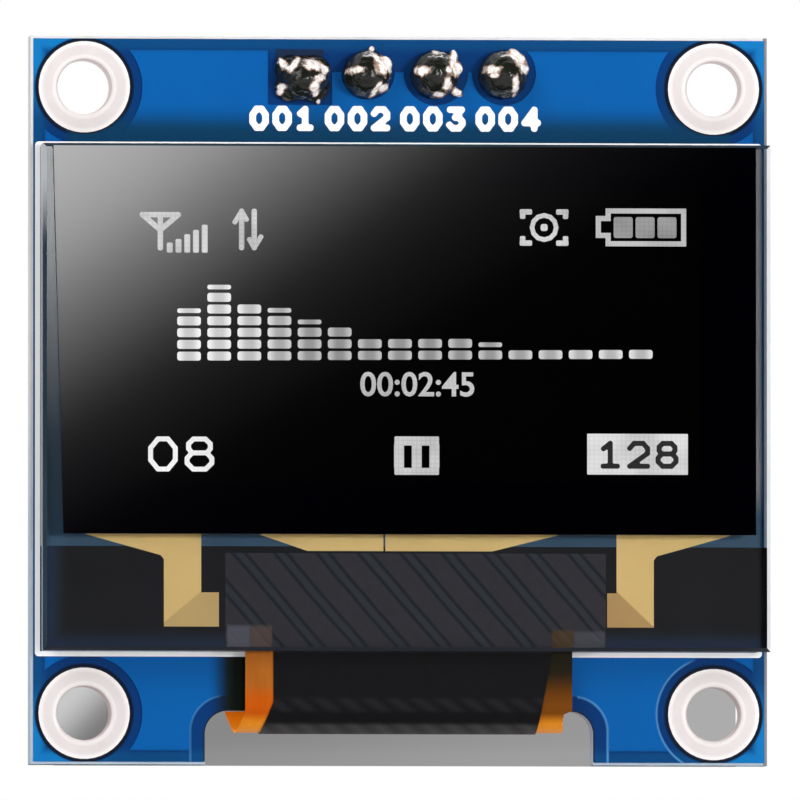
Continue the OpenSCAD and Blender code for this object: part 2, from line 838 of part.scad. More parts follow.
// The two pads of one chip part
module part_pads(spot, grow = 0) {
    reach = end_cap + pad_reach + 2 * grow;
    mid = chip_part_l / 2 + (pad_reach - end_cap) / 2;
    at_part(spot) for (side = [-1, 1]) translate([side * mid, 0])
        square([reach, chip_part_w + 2 * (pad_margin + grow)], center = true);
}

// A chip part: a body between two metal ends
module chip_part(spot, thick) {
    p = end_proud;
    at_part(spot) {
        slab(back - thick + p, back)
            square([chip_part_l - 2 * p, chip_part_w - 2 * p], center = true);
        for (side = [-1, 1]) slab(back - thick, back)
            translate([side * (chip_part_l - end_cap) / 2, 0])
                square([end_cap, chip_part_w], center = true);
    }
}

module capacitor(i) {
    color([0.72, 0.55, 0.38]) stand() chip_part(CAPACITORS[i], capacitor_t);
}

module resistor(i) {
    color([0.12, 0.12, 0.13]) stand() chip_part(RESISTORS[i], resistor_t);
}

// Pads of the regulator: two on one side and one on the other
module regulator_pads(grow = 0) {
    wide = leg_w + 2 * (pad_margin + grow);
    deep = leg_foot + pad_reach + 2 * grow;
    for (leg = LEGS)
        translate(regulator_at + [leg[0], leg[1] * (regulator_w / 2 + leg_out + leg_foot / 2)])
            square([wide, deep], center = true);
}

module soldering_pads() {
    color([0.88, 0.87, 0.85]) stand() slab(back, -board_t) {
        for (at = CAPACITORS) part_pads(at);
        for (at = RESISTORS) part_pads(at);
        part_pads(SPARE_PAIR);
        regulator_pads();
    }
}

// A wedge of solder climbs each metal end
module end_fillets(spot, thick) {
    climb = thick - fillet_bare;
    at_part(spot) for (side = [0, 180]) rotate(side)
        translate([chip_part_l / 2, 0, back]) rotate([90, 0, 0])
            linear_extrude(chip_part_w, center = true)
                polygon([[0, 0], [pad_reach, 0], [pad_reach / 3, -climb / 3], [0, -climb]]);
}

module solder_fillets() {
    color([0.75, 0.75, 0.77]) stand() {
        for (at = CAPACITORS) end_fillets(at, capacitor_t);
        for (at = RESISTORS) end_fillets(at, resistor_t);
    }
}

module regulator_body() {
    high = back - regulator_lift;
    low = high - regulator_t;
    half = regulator_w / 2;
    draft = regulator_draft;
    waist = (high + low) / 2;
    color([0.1, 0.1, 0.1]) stand() translate(regulator_at) rotate([90, 0, 90])
        linear_extrude(regulator_l, center = true)
            polygon([[draft - half, high], [half - draft, high], [half, waist],
                     [half - draft, low], [draft - half, low], [-half, waist]]);
}

// Gull-wing legs: out of the body's waist, down, and flat on the pad
module regulator_legs() {
    waist = back - regulator_lift - regulator_t / 2;
    half = regulator_w / 2;
    out = half + leg_out;
    low = back - leg_t;
    drawn_in = regulator_draft * leg_t / (regulator_t / 2);
    leg_view = [[half, waist], [out + leg_t, waist], [out + leg_t, low],
                [out + leg_foot, low], [out + leg_foot, back], [out, back],
                [out, waist + leg_t], [half - drawn_in, waist + leg_t]];
    color([0.8, 0.8, 0.82]) stand() translate(regulator_at)
        for (leg = LEGS)
            translate([leg[0], 0]) scale([1, leg[1], 1]) rotate([90, 0, 90])
                linear_extrude(leg_w, center = true) polygon(leg_view);
}

// ---- one line for each node ----

board_core();
front_copper();
back_copper();
front_mask();
back_mask();
mounting_ring(0);  // mounting_ring_1
mounting_ring(1);  // mounting_ring_2
mounting_ring(2);  // mounting_ring_3
mounting_ring(3);  // mounting_ring_4
pin_barrel(0);  // pin_barrel_1
pin_barrel(1);  // pin_barrel_2
pin_barrel(2);  // pin_barrel_3
pin_barrel(3);  // pin_barrel_4
header_pin(0);  // header_pin_1
header_pin(1);  // header_pin_2
header_pin(2);  // header_pin_3
header_pin(3);  // header_pin_4
solder_joint(0);  // solder_joint_1
solder_joint(1);  // solder_joint_2
solder_joint(2);  // solder_joint_3
solder_joint(3);  // solder_joint_4
header_housing();
panel_tape();
rear_glass();
glass_seal();
picture_film();
front_glass();
polarizer();
outer_lead(-1);  // lead_left
outer_lead(1);  // lead_right
middle_lead(-1);  // lead_middle_left
middle_lead(1);  // lead_middle_right
ledge_resin();
driver_chip();
flex_film();
flex_cover();
tail_tape();
tail_contacts();
capacitor(0);  // capacitor_1
capacitor(1);  // capacitor_2
capacitor(2);  // capacitor_3
capacitor(3);  // capacitor_4
capacitor(4);  // capacitor_5
resistor(0);  // resistor_1
resistor(1);  // resistor_2
resistor(2);  // resistor_3
resistor(3);  // resistor_4
resistor(4);  // resistor_5
soldering_pads();
solder_fillets();
regulator_body();
regulator_legs();
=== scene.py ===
import math

import bpy
from mathutils import Matrix, Vector


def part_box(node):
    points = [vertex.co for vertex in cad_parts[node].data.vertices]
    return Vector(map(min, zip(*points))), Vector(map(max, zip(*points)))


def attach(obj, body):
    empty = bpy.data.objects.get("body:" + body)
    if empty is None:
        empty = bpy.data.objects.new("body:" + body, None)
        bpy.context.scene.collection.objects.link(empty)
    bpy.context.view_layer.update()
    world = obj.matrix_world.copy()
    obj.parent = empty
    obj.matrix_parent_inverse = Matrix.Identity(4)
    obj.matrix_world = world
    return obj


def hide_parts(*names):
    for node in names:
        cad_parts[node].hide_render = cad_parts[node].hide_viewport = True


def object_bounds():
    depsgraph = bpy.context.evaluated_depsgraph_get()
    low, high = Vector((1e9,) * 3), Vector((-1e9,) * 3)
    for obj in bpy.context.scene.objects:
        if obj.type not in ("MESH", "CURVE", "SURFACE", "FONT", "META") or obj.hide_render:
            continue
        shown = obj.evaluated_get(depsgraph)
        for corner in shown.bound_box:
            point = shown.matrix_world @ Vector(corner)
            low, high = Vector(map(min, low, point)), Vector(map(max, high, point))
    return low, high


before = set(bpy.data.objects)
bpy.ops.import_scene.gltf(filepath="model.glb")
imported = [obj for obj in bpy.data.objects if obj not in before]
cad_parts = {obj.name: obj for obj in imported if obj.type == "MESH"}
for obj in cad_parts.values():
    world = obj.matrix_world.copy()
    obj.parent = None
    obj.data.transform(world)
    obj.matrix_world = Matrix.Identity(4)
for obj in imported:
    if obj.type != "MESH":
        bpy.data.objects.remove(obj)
cad_low, cad_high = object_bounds()
MM = 0.001


# ---- places, all in millimetres: x to the right, z up, y away from the viewer ----

def edges(node):
    """The lowest and highest corners of a CAD node, in millimetres."""
    low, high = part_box(node)
    return Vector(low) / MM, Vector(high) / MM


board_low, board_high = edges("board_core")
mask_low, mask_high = edges("front_mask")
panel_low, panel_high = edges("front_glass")
screen_low, screen_high = edges("polarizer")
rear_top = edges("rear_glass")[1].z
resin_low = edges("ledge_resin")[0]
film_low, film_high = edges("flex_film")
picture_low, picture_high = edges("picture_film")
RINGS = [edges(f"mounting_ring_{i}") for i in range(1, 5)]
PINS = [edges(f"header_pin_{i}") for i in range(1, 5)]
ring_radius = (RINGS[0][1].x - RINGS[0][0].x) / 2
mask_front = -mask_low.y
screen_front = -screen_low.y


# ---- shader maths ----

class Value:
    """A shader socket that can be used in sums."""

    def __init__(self, finish, socket):
        self.finish = finish
        self.socket = socket

    def maths(self, operation, *others):
        node = self.finish.node("ShaderNodeMath", {"operation": operation},
                                {i: v for i, v in enumerate((self, *others))})
        return Value(self.finish, node.outputs[0])

    def __add__(self, other):
        return self.maths("ADD", other)

    __radd__ = __add__

    def __sub__(self, other):
        return self.maths("SUBTRACT", other)

    def __rsub__(self, other):
        return (self * -1).maths("ADD", other)

    def __mul__(self, other):
        return self.maths("MULTIPLY", other)

    __rmul__ = __mul__

    def __truediv__(self, other):
        return self.maths("DIVIDE", other)

    def __abs__(self):
        return self.maths("ABSOLUTE")

    def over(self, other):
        return self.maths("GREATER_THAN", other)

    def wave(self, pitch):
        """0 to 1 and back once in each pitch."""
        return self.maths("PINGPONG", pitch / 2) / (pitch / 2)

    def lesser(self, other):
        return self.maths("MINIMUM", other)

    def greater(self, other):
        return self.maths("MAXIMUM", other)


class Nodes:
    """A tree of shader nodes, and the ways to add to it."""

    def __init__(self, owner, output, place):
        owner.use_nodes = True
        self.tree = owner.node_tree
        self.tree.nodes.clear()
        self.output = self.node(output)
        self.where = self.node("ShaderNodeTexCoord").outputs[place]

    def show(self, shader):
        """Makes a shader node the one that is seen."""
        self.tree.links.new(shader.outputs[0], self.output.inputs["Surface"])

    def node(self, kind, settings=None, sockets=None):
        node = self.tree.nodes.new(kind)
        for name, value in (settings or {}).items():
            if name == "stops":
                ramp = node.color_ramp
                for i, (at, colour) in enumerate(value):
                    stop = ramp.elements[i] if i < 2 else ramp.elements.new(at)
                    stop.position, stop.color = at, colour
            else:
                setattr(node, name, value)
        for name, value in (sockets or {}).items():
            self.feed(node.inputs[name], value)
        return node

    def feed(self, socket, value):
        if isinstance(value, Value):
            self.tree.links.new(value.socket, socket)
        elif isinstance(value, bpy.types.NodeSocket):
            self.tree.links.new(value, socket)
        elif isinstance(value, tuple) and socket.type == "RGBA" and len(value) == 3:
            socket.default_value = (*value, 1)
        else:
            socket.default_value = value

    def xyz(self):
        """The place on the piece, in millimetres."""
        split = self.node("ShaderNodeSeparateXYZ", {}, {0: self.where})
        return [Value(self, split.outputs[i]) / MM for i in range(3)]

    def facing(self):
        """The outward direction of the face."""
        split = self.node("ShaderNodeSeparateXYZ", {},
                          {0: self.node("ShaderNodeNewGeometry").outputs["True Normal"]})
        return [Value(self, split.outputs[i]) for i in range(3)]

    def from_ring(self, x, z):
        """The distance from the middle of the nearest mounting ring."""
        middle = [(low + high) / 2 for low, high in RINGS]
        dx = abs(x - (middle[0].x + middle[1].x) / 2) - (middle[1].x - middle[0].x) / 2
        dz = abs(z - (middle[0].z + middle[2].z) / 2) - (middle[0].z - middle[2].z) / 2
        return (dx * dx + dz * dz).maths("SQRT")

    def grain(self, size, detail=2, roughness=0.5, stretch=(1, 1, 1)):
        """Noise whose spots are about size millimetres across."""
        spread = self.node("ShaderNodeMapping", {},
                           {"Vector": self.where, "Scale": tuple(s / size / MM for s in stretch)})
        noise = self.node("ShaderNodeTexNoise", {},
                          {"Vector": spread.outputs[0], "Scale": 1.0, "Detail": detail,
                           "Roughness": roughness})
        return Value(self, noise.outputs[0])

    def fade(self, value, start, end):
        """0 before start and 1 after end, with a smooth change between."""
        node = self.node("ShaderNodeMapRange", {"interpolation_type": "SMOOTHSTEP"},
                         {"Value": value, "From Min": start, "From Max": end})
        return Value(self, node.outputs[0])

    def inside(self, value, low, high, soft=0.05):
        """1 between low and high, and 0 outside them."""
        return self.fade(value, low - soft, low + soft) * self.fade(value, high + soft, high - soft)

    def mix(self, mask, before, after):
        """The first colour where the mask is 0, and the second where it is 1."""
        node = self.node("ShaderNodeMix", {"data_type": "RGBA"}, {0: mask, 6: before, 7: after})
        return Value(self, node.outputs[2])

    def bump(self, height, depth):
        """A normal for relief that is depth millimetres deep."""
        node = self.node("ShaderNodeBump", {}, {"Height": height, "Distance": depth * MM})
        return Value(self, node.outputs[0])


class Blank(Nodes):
    """A material with no shader in it yet."""

    def __init__(self, name):
        self.material = bpy.data.materials.new(name)
        super().__init__(self.material, "ShaderNodeOutputMaterial", "Object")


class Finish(Blank):
    """A material, built up from nodes around one Principled shader."""

    def __init__(self, name, **looks):
        super().__init__(name)
        self.shader = self.node("ShaderNodeBsdfPrincipled", {}, looks)
        self.show(self.shader)

    def give(self, **looks):
        """Feeds values or links to the Principled shader."""
        for name, value in looks.items():
            self.feed(self.shader.inputs[name.replace("_", " ")], value)
        return self

    def shiny_glass(self, tint, through):
        """Lets light through, and reflects more of it at a slant."""
        clear = self.node("ShaderNodeBsdfTransparent", {}, {"Color": (*tint, 1)})
        gloss = self.node("ShaderNodeBsdfGlossy", {}, {"Roughness": 0.02})
        slant = self.node("ShaderNodeFresnel", {}, {"IOR": 1.5})
        both = self.node("ShaderNodeMixShader", {},
                         {0: slant.outputs[0], 1: clear.outputs[0], 2: gloss.outputs[0]})
        ends = self.node("ShaderNodeMixShader", {},
                         {0: through, 1: self.shader.outputs[0], 2: both.outputs[0]})
        self.show(ends)
        return self


def dress(finish, *nodes):
    """Gives a finish to CAD nodes."""
    for name in nodes:
        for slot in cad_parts[name].material_slots:
            slot.material = finish.material


# ---- finishes of the circuit board ----

def laminate():
    f = Finish("fibre_laminate", **{"Roughness": 0.7, "Specular IOR Level": 0.2})
    _, ny, _ = f.facing()
    x, _, z = f.xyz()
    layers = f.grain(0.16, 3, 0.6, (0.1, 1.6, 0.1))
    flat = abs(ny).over(0.5)
    margin_x = abs(x - (board_high.x + board_low.x) / 2).over(mask_high.x - 0.02)
    margin_z = abs(z - (board_high.z + board_low.z) / 2).over(mask_high.z - 0.02)
    covered = flat * (1 - margin_x.greater(margin_z))
    pale = f.mix(layers, (0.62, 0.62, 0.62), (0.86, 0.86, 0.87))
    pale = f.mix(f.fade(z, 2.0, -8.0), pale, f.mix(layers, (0.36, 0.44, 0.52), (0.50, 0.59, 0.68)))
    # Painted shade: the bare margin on the right side is darker
    pale = f.mix(x.over(mask_high.x - 0.05) * flat, pale, (0.25, 0.25, 0.26))
    f.give(Base_Color=f.mix(covered, pale, (0.008, 0.012, 0.03)), Normal=f.bump(layers, 0.02))
    return f


# Thickness of the lacquer where the copper is left out, how far from a ring's middle the gap round
# it lies, and the bend of the bare band by the notch: its middle across and up, and its radius;
# painted highlight lines run along that gap and that bend
THIN_LACQUER = 0.03
RING_GAP = 2.135
BEND_X, BEND_Z, BEND_RADIUS = 6.46, -12.32, 1.33


def lacquer(front):
    """Blue solder mask: bright over the copper, and dark where the copper is left out, with painted shade
    round the rings; on the front also painted highlights along copper edges, and painted shadows of the
    panel and the flex.
    """
    f = Finish("front_lacquer" if front else "back_lacquer",
               **{"Roughness": 0.22, "Specular IOR Level": 0.1})
    x, y, z = f.xyz()
    sink = y * -1 if front else y - board_high.y
    sink = (sink - THIN_LACQUER) / (mask_front - THIN_LACQUER)
    copper = f.fade(sink, 0.2, 0.8)
    cloud = f.grain(4.5, 2, 0.5)
    fine = f.grain(0.35, 3, 0.6)
    over = f.mix(cloud, (0.001, 0.098, 0.365), (0.002, 0.117, 0.415))
    bare = f.mix(cloud, (0.001, 0.030, 0.145), (0.002, 0.045, 0.190))
    from_side = board_high.x - abs(x - (board_high.x + board_low.x) / 2)
    from_end = board_high.z - abs(z)
    rim = f.fade(from_side.lesser(from_end), 0.7, 0.3)
    corner = f.fade(from_side.greater(from_end), 3.2, 1.2)
    colour = f.mix(rim, f.mix(copper, bare, over),
                   f.mix(corner, (0.003, 0.062, 0.200), (0.006, 0.180, 0.490)))
    # Painted shade: a dark band round each ring, widening the dark gap at the edge of the mask's opening
    round_ring = f.fade(f.from_ring(x, z), ring_radius + 0.2, ring_radius + 0.1)
    colour = f.mix(round_ring, colour, (0.003, 0.010, 0.028))
    if front:
        right, below = x.over(0), (z * -1).over(0)
        # Painted highlights: light-blue lines along the copper's edge, on the gap by the lower right ring
        # and on the bend round the notch, stronger on the right
        by_ring = f.inside(f.from_ring(x, z), RING_GAP - 0.035, RING_GAP + 0.035, 0.03)
        by_ring = by_ring * right * below * f.fade(x, 11.2, 10.6)
        dx, dz = (abs(x) - BEND_X).greater(0), (z - BEND_Z).greater(0)
        from_bend = (dx * dx + dz * dz).maths("SQRT")
        by_notch = f.inside(from_bend, BEND_RADIUS - 0.04, BEND_RADIUS + 0.04, 0.03)
        by_notch = by_notch * below * abs(x).over(film_high.x - 1)
        glint = by_ring + by_notch * (0.5 + 0.5 * right)
        colour = f.mix(glint.lesser(1) * 0.8, colour, (0.090, 0.320, 0.640))
        # Painted shadow of the panel on the lacquer above it
        panel_shadow = f.inside(z, 0, 10.5, 0.55) * f.fade(from_side, 1.2, 1.6)
        # Painted shadow of the flex on the lacquer to its left
        flex_shadow = f.inside(x, film_low.x - 0.2, film_low.x + 1.6, 0.45) * f.inside(z, -12.2, -9, 0.5)
        colour = f.mix(panel_shadow, colour, (0.003, 0.045, 0.115))
        colour = f.mix(flex_shadow, colour, (0.004, 0.009, 0.005))
    f.give(Base_Color=colour, Roughness=0.2 + fine * 0.08,
           Normal=f.bump(fine * 0.3 + cloud, 0.012))
    return f


def copper_foil():
    f = Finish("copper_foil", Metallic=1.0, Roughness=0.4)
    f.give(Base_Color=f.mix(f.grain(0.5), (0.55, 0.26, 0.14), (0.70, 0.38, 0.24)))
    return f


def tin(name="tin_plating"):
    """Tin plating, with a faint uneven shine."""
    f = Finish(name, Metallic=0.55)
    cloud = f.grain(0.8, 3, 0.6)
    fine = f.grain(0.12, 2, 0.6)
    f.give(Base_Color=f.mix(cloud, (0.80, 0.745, 0.735), (0.92, 0.875, 0.87)),
           Roughness=0.30 + 0.12 * cloud, Normal=f.bump(fine * 0.5 + cloud, 0.02))
    return f


def ring_tin():
    """Tin on the mounting rings, with painted highlights at the rim and at the hole's mouth."""
    f = Finish("ring_tin", **{"Metallic": 0.06, "Specular IOR Level": 0.25})
    x, _, z = f.xyz()
    cloud = f.grain(0.9, 3, 0.55)
    fine = f.grain(0.1, 2, 0.6)
    away = f.from_ring(x, z)
    # Painted highlights: a bright ring at the hole's mouth and a brighter outer rim
    mouth = f.inside(away, 1.02, 1.2, 0.04)
    rim = f.fade(away, ring_radius - 0.22, ring_radius - 0.05) + mouth * 0.5
    barrel = f.fade(away, 1.06, 1.0)
    face = f.mix(cloud, (0.72, 0.655, 0.65), (0.82, 0.76, 0.755))
    bright = f.mix(rim, face, (0.92, 0.88, 0.87))
    f.give(Base_Color=f.mix(barrel, bright, (0.66, 0.56, 0.56)),
           Roughness=0.34 + 0.1 * cloud, Normal=f.bump(fine * 0.4 + cloud, 0.02))
    return f


def solder(name, spots):
    """Solder painted dark as a reflection of a dim room, with painted highlights on its raised spots:
    white with a faint glow in their cores, and tan at their borders.
    """
    f = Finish(name, **{"Specular IOR Level": 0.3, "Emission Strength": 0.2})
    x, _, z = f.xyz()
    ragged_noise = f.grain(0.30, 3, 0.6)
    fine = f.grain(0.16, 2, 0.5)
    nearest = 9
    for across, up, wide, high, turn in spots:
        u, v = x - across, z - up
        along = (u * math.cos(turn) + v * math.sin(turn)) / wide
        aside = (v * math.cos(turn) - u * math.sin(turn)) / high
        nearest = (along * along + aside * aside).maths("SQRT").lesser(nearest)
    # Painted highlights: bright round each spot and white in its core, with edges made ragged by noise
    nearest = nearest + (ragged_noise - 0.5) * 1.9
    bright = f.fade(nearest, 1.25, 1.0)
    core = f.fade(nearest, 1.0, 0.62)
    glint_colour = f.mix(f.fade(fine, 0.36, 0.5), (0.62, 0.46, 0.38), (0.92, 0.88, 0.85))
    tint = f.mix(core, (0.36, 0.24, 0.17), glint_colour)
    # Elsewhere the solder is painted dark as a reflection of a dim room; the white cores also glow
    f.give(Base_Color=f.mix(bright, f.mix(fine, (0.006, 0.009, 0.006), (0.016, 0.016, 0.012)), tint),
           Emission_Color=f.mix(core * bright, (0, 0, 0), (1, 1, 1)),
           Roughness=0.16 + 0.25 * bright, Normal=f.bump(fine + ragged_noise, 0.03))
    return f


def dark_flux():
    """Flux that has run over the pads under the solder."""
    f = Finish("dark_flux", **{"Roughness": 0.3, "Specular IOR Level": 0.2})
    f.give(Base_Color=f.mix(f.grain(0.3, 3), (0.003, 0.014, 0.045), (0.006, 0.024, 0.075)))
    return f


def gold_plating():
    f = Finish("gold_plating", Metallic=1.0)
    scratch = f.grain(0.25, 3, 0.6, (1, 0.12, 1))
    f.give(Base_Color=f.mix(scratch, (0.80, 0.58, 0.24), (0.90, 0.70, 0.36)),
           Roughness=0.2 + 0.18 * scratch, Normal=f.bump(scratch, 0.006))
    return f


def moulded_black(name, size=0.25):
    f = Finish(name, **{"Specular IOR Level": 0.2})
    grit = f.grain(size, 3, 0.6)
    f.give(Base_Color=f.mix(grit, (0.014, 0.014, 0.015), (0.028, 0.028, 0.030)),
           Roughness=0.42 + 0.2 * grit, Normal=f.bump(grit, 0.015))
    return f


def chip_part(node, body_dark, body_pale):
    """A ceramic body with tinned ends, along the longer side of its node."""
    f = Finish(f"{node}_finish")
    x, _, z = f.xyz()
    low, high = edges(node)
    upright = high.z - low.z > high.x - low.x
    along = abs((z if upright else x) - ((low.z + high.z) / 2 if upright else (low.x + high.x) / 2))
    half = (high.z - low.z if upright else high.x - low.x) / 2
    end = f.fade(along, half - 0.32, half - 0.27)
    mottle = f.grain(0.2, 3, 0.6)
    f.give(Base_Color=f.mix(end, f.mix(mottle, body_dark, body_pale),
                            f.mix(mottle, (0.62, 0.61, 0.60), (0.80, 0.79, 0.77))),
           Metallic=end * 0.8, Roughness=0.5 - end * 0.22 + mottle * 0.08,
           Normal=f.bump(mottle, 0.015))
    dress(f, node)


# ---- finishes of the display panel ----

def panel_glass(name, top):
    """Clear glass whose ground edges are dark, with painted highlights making them pale on the right and
    at the upper left, and painted shade on the edges facing down.
    """
    f = Finish(name, **{"Roughness": 0.2, "IOR": 1.5, "Specular IOR Level": 0.15})
    nx, ny, nz = f.facing()
    z = f.xyz()[2]
    flat = abs(ny).over(0.9)
    lit = Value(f, f.node("ShaderNodeLightPath").outputs["Is Shadow Ray"])
    shade = f.grain(1.2, 2, 0.5, (1, 1, 0.4))
    dark = f.mix(shade, (0.010, 0.022, 0.035), (0.030, 0.055, 0.080))
    pale = f.mix(shade, (0.62, 0.65, 0.68), (0.84, 0.86, 0.88))
    # Painted highlights on the edges facing right and on the left edge near the top; painted shade on the
    # edges facing down
    right, left, under = nx.over(0.3), (nx * -1).over(0.3), (nz * -1).over(0.3)
    bright = right.greater(left * f.fade(z, top - 4.0, top - 1.0) * 0.6)
    f.give(Base_Color=f.mix(under, f.mix(bright, dark, pale), (0.010, 0.014, 0.022)))
    f.shiny_glass((0.98, 0.99, 1.0), flat.greater(lit))
    return f


def edge_seal():
    """Epoxy between the two glasses: blue on the left and below, and grey on the right."""
    f = Finish("edge_seal", **{"Roughness": 0.5, "Specular IOR Level": 0.15})
    x, _, z = f.xyz()
    cloud = f.grain(2.2, 2, 0.5, (1, 1, 0.35))
    tall = f.inside(z, -0.5, 4.5, 3.0)
    blue = f.mix(tall, f.mix(cloud, (0.035, 0.085, 0.150), (0.070, 0.140, 0.210)),
                 f.mix(cloud, (0.060, 0.095, 0.145), (0.110, 0.160, 0.225)))
    grey = f.mix(cloud, (0.22, 0.22, 0.24), (0.34, 0.34, 0.36))
    right = f.fade(x, panel_high.x - 1.0, panel_high.x - 0.6) * f.fade(z, -4.5, -3.0)
    f.give(Base_Color=f.mix(right, blue, grey))
    return f


def black_polarizer():
    """Glossy black film, slightly brown over the picture."""
    f = Finish("black_polarizer", **{"Roughness": 0.03, "IOR": 1.5})
    x, _, z = f.xyz()
    lit = f.inside(x, picture_low.x, picture_high.x, 0.04)
    lit = lit * f.inside(z, picture_low.z, picture_high.z, 0.04)
    f.give(Base_Color=f.mix(lit, (0.0002, 0.0002, 0.0010), (0.0006, 0.0005, 0.0005)))
    return f


def lead_gold():
    """Thin gold film under the glass, darker beyond a slanting line across each foot."""
    f = Finish("lead_gold", **{"Metallic": 0.1, "Roughness": 0.45, "Specular IOR Level": 0.2})
    x, _, z = f.xyz()
    cloud = f.grain(2.0, 2, 0.5)
    plain = f.mix(cloud, (0.88, 0.61, 0.23), (0.98, 0.69, 0.28))
    foot = f.fade(z, -7.0, -7.1)
    left_foot = f.fade(z - x * 0.845, -0.79, -0.87) * foot * (x * -1).over(0)
    right_foot = f.fade(z + x * 0.948, 0.57, 0.49) * foot * x.over(0)
    shaded = f.mix(left_foot, plain, (0.72, 0.50, 0.20))
    f.give(Base_Color=f.mix(right_foot, shaded, (0.62, 0.38, 0.14)))
    return f


# Patches where the resin and the cover are thin: left, right and top, and the colour there
THIN_RESIN = [(-6.49, -5.63, -8.40, (0.13, 0.13, 0.16)), (-5.63, -4.81, -8.40, (0.13, 0.095, 0.085)),
              (5.63, 6.46, -8.55, (0.10, 0.065, 0.035)), (6.46, 7.61, -8.60, (0.10, 0.10, 0.115))]


def thin_patches(f, colour, x, z, where=1):
    """Shows the paler patches at the lower corners of the ledge."""
    for left, right, top, thin in THIN_RESIN:
        patch = f.inside(x, left, right) * f.fade(z, top + 0.1, top - 0.1) * where
        colour = f.mix(patch, colour, thin)
    return colour


def black_resin():
    """Black sealing resin, with a bluish haze at its thin borders."""
    f = Finish("black_resin", **{"Roughness": 0.5, "Specular IOR Level": 0.1})
    x, _, z = f.xyz()
    cloud = f.grain(1.5, 3, 0.5)
    rim = f.fade((x - resin_low.x).lesser(z - resin_low.z), 0.75, 0.0)
    colour = f.mix(rim, f.mix(cloud, (0.012, 0.012, 0.014), (0.019, 0.018, 0.021)),
                   (0.024, 0.040, 0.080))
    f.give(Base_Color=thin_patches(f, colour, x, z))
    return f


# ---- finishes of the flex cable ----

def black_cover():
    """Black cover layer: pairs of tracks cross the head at a slant, and a pale band the fold."""
    f = Finish("black_cover", **{"Specular IOR Level": 0.04})
    x, _, z = f.xyz()
    head = f.fade(z, panel_low.z - 0.1, panel_low.z + 0.1)
    slant = x * 0.755 + z * 0.656
    pair = (slant + f.grain(2.5) * 0.12).wave(1.183)
    line = f.inside(pair, 0.19, 0.405, 0.09) * head
    between = f.fade(pair, 0.25, 0.1) * head
    weave = f.grain(0.3, 3, 0.6)
    slope = (x * 0.6 + z * 0.8).wave(0.55)
    fold = f.fade(z, -11.95, -12.15)
    head_colour = f.mix(weave, (0.046, 0.043, 0.051), (0.062, 0.058, 0.067))
    band = slope * f.inside(z, -11.6, -11.1, 0.1) * 0.6
    fold_colour = f.mix(slope, (0.030, 0.029, 0.030), (0.060, 0.057, 0.060))
    neck_colour = f.mix(weave, (0.0045, 0.0045, 0.0055), (0.009, 0.009, 0.010))
    neck_colour = f.mix(fold, f.mix(band, neck_colour, (0.022, 0.022, 0.024)), fold_colour)
    colour = f.mix(between * 0.6, f.mix(head, neck_colour, head_colour), (0.045, 0.056, 0.064))
    colour = f.mix(line, colour, (0.027, 0.031, 0.039))
    f.give(Base_Color=thin_patches(f, colour, x, z, head), Roughness=0.42 + 0.15 * weave,
           Normal=f.bump(weave * 0.2 + (1 - line) * 0.8, 0.02))
    return f


def amber_film():
    """Amber polyimide, with painted shade making its upper right half near black, painted light making its
    fold bright, and a painted glow on the tail behind.
    """
    f = Finish("amber_film", **{"Roughness": 0.25, "Specular IOR Level": 0.08,
                                "Emission Strength": 0.8})
    x, y, z = f.xyz()
    streak = f.grain(0.5, 3, 0.6, (1, 1, 0.18))
    right = x.over((film_low.x + film_high.x) / 2)
    pure = f.fade(z, -10.4, -11.3)
    fold = f.fade(z, -11.6, -12.1)
    upper = f.mix(streak, (0.30, 0.080, 0.007), (0.54, 0.170, 0.022))
    left_side = f.mix(pure, upper, f.mix(streak, (0.46, 0.065, 0.001), (0.66, 0.120, 0.002)))
    # Painted shade: the right half is near black at the top and turns orange lower down
    right_side = f.mix(f.fade(z, -10.0, -11.5), (0.014, 0.011, 0.005), (0.18, 0.052, 0.003))
    # Painted light: the fold is bright orange, as if lit through
    bottom = f.mix(streak, (0.80, 0.24, 0.008), (0.96, 0.36, 0.020))
    colour = f.mix(fold, f.mix(right, left_side, right_side), bottom)
    # Painted glow on the tail behind, seen through the notch
    behind = f.fade(y, 0.1, 0.4) * f.fade(z, -10.9, -11.1)
    f.give(Base_Color=colour, Normal=f.bump(streak, 0.02),
           Emission_Color=f.mix(behind, (0, 0, 0), (0.46, 0.11, 0.003)))
    return f


def white_tape():
    f = Finish("white_tape", Roughness=0.8)
    f.give(Base_Color=f.mix(f.grain(0.2, 3), (0.72, 0.72, 0.69), (0.85, 0.85, 0.82)))
    return f


def silicon():
    f = Finish("silicon", Metallic=0.3, Roughness=0.25)
    f.give(Base_Color=f.mix(f.grain(0.3), (0.05, 0.05, 0.07), (0.09, 0.09, 0.12)))
    return f


# ---- prints and lit shapes ----

def white_print():
    # A faint painted glow keeps the print white where the panel shades it
    f = Finish("white_print", **{"Roughness": 0.6, "Specular IOR Level": 0.2, "Emission Strength": 0.16,
                                 "Emission Color": (1, 1, 1, 1)})
    speck = f.grain(0.12, 3, 0.6)
    f.give(Base_Color=f.mix(speck, (0.80, 0.83, 0.85), (0.92, 0.94, 0.95)), Normal=f.bump(speck, 0.01))
    return f


PICTURE_WIDE, DOTS_ACROSS = 21.74, 128


def lit_dots(name, dark, bright):
    """Lit picture dots: a fine square grid with a soft uneven glow."""
    f = Finish(name, **{"Roughness": 0.4, "Emission Strength": 1.0, "Specular IOR Level": 0.1})
    x, _, z = f.xyz()
    pitch = PICTURE_WIDE / DOTS_ACROSS
    grid = f.fade(x.wave(pitch), 0.0, 0.5) * f.fade(z.wave(pitch), 0.0, 0.5)
    glow = f.grain(1.6, 2, 0.5)
    colour = f.mix(f.fade(glow, 0.3, 0.7) * 0.7 + grid * 0.3, dark, bright)
    f.give(Base_Color=(0.02, 0.02, 0.02), Emission_Color=colour)
    return f


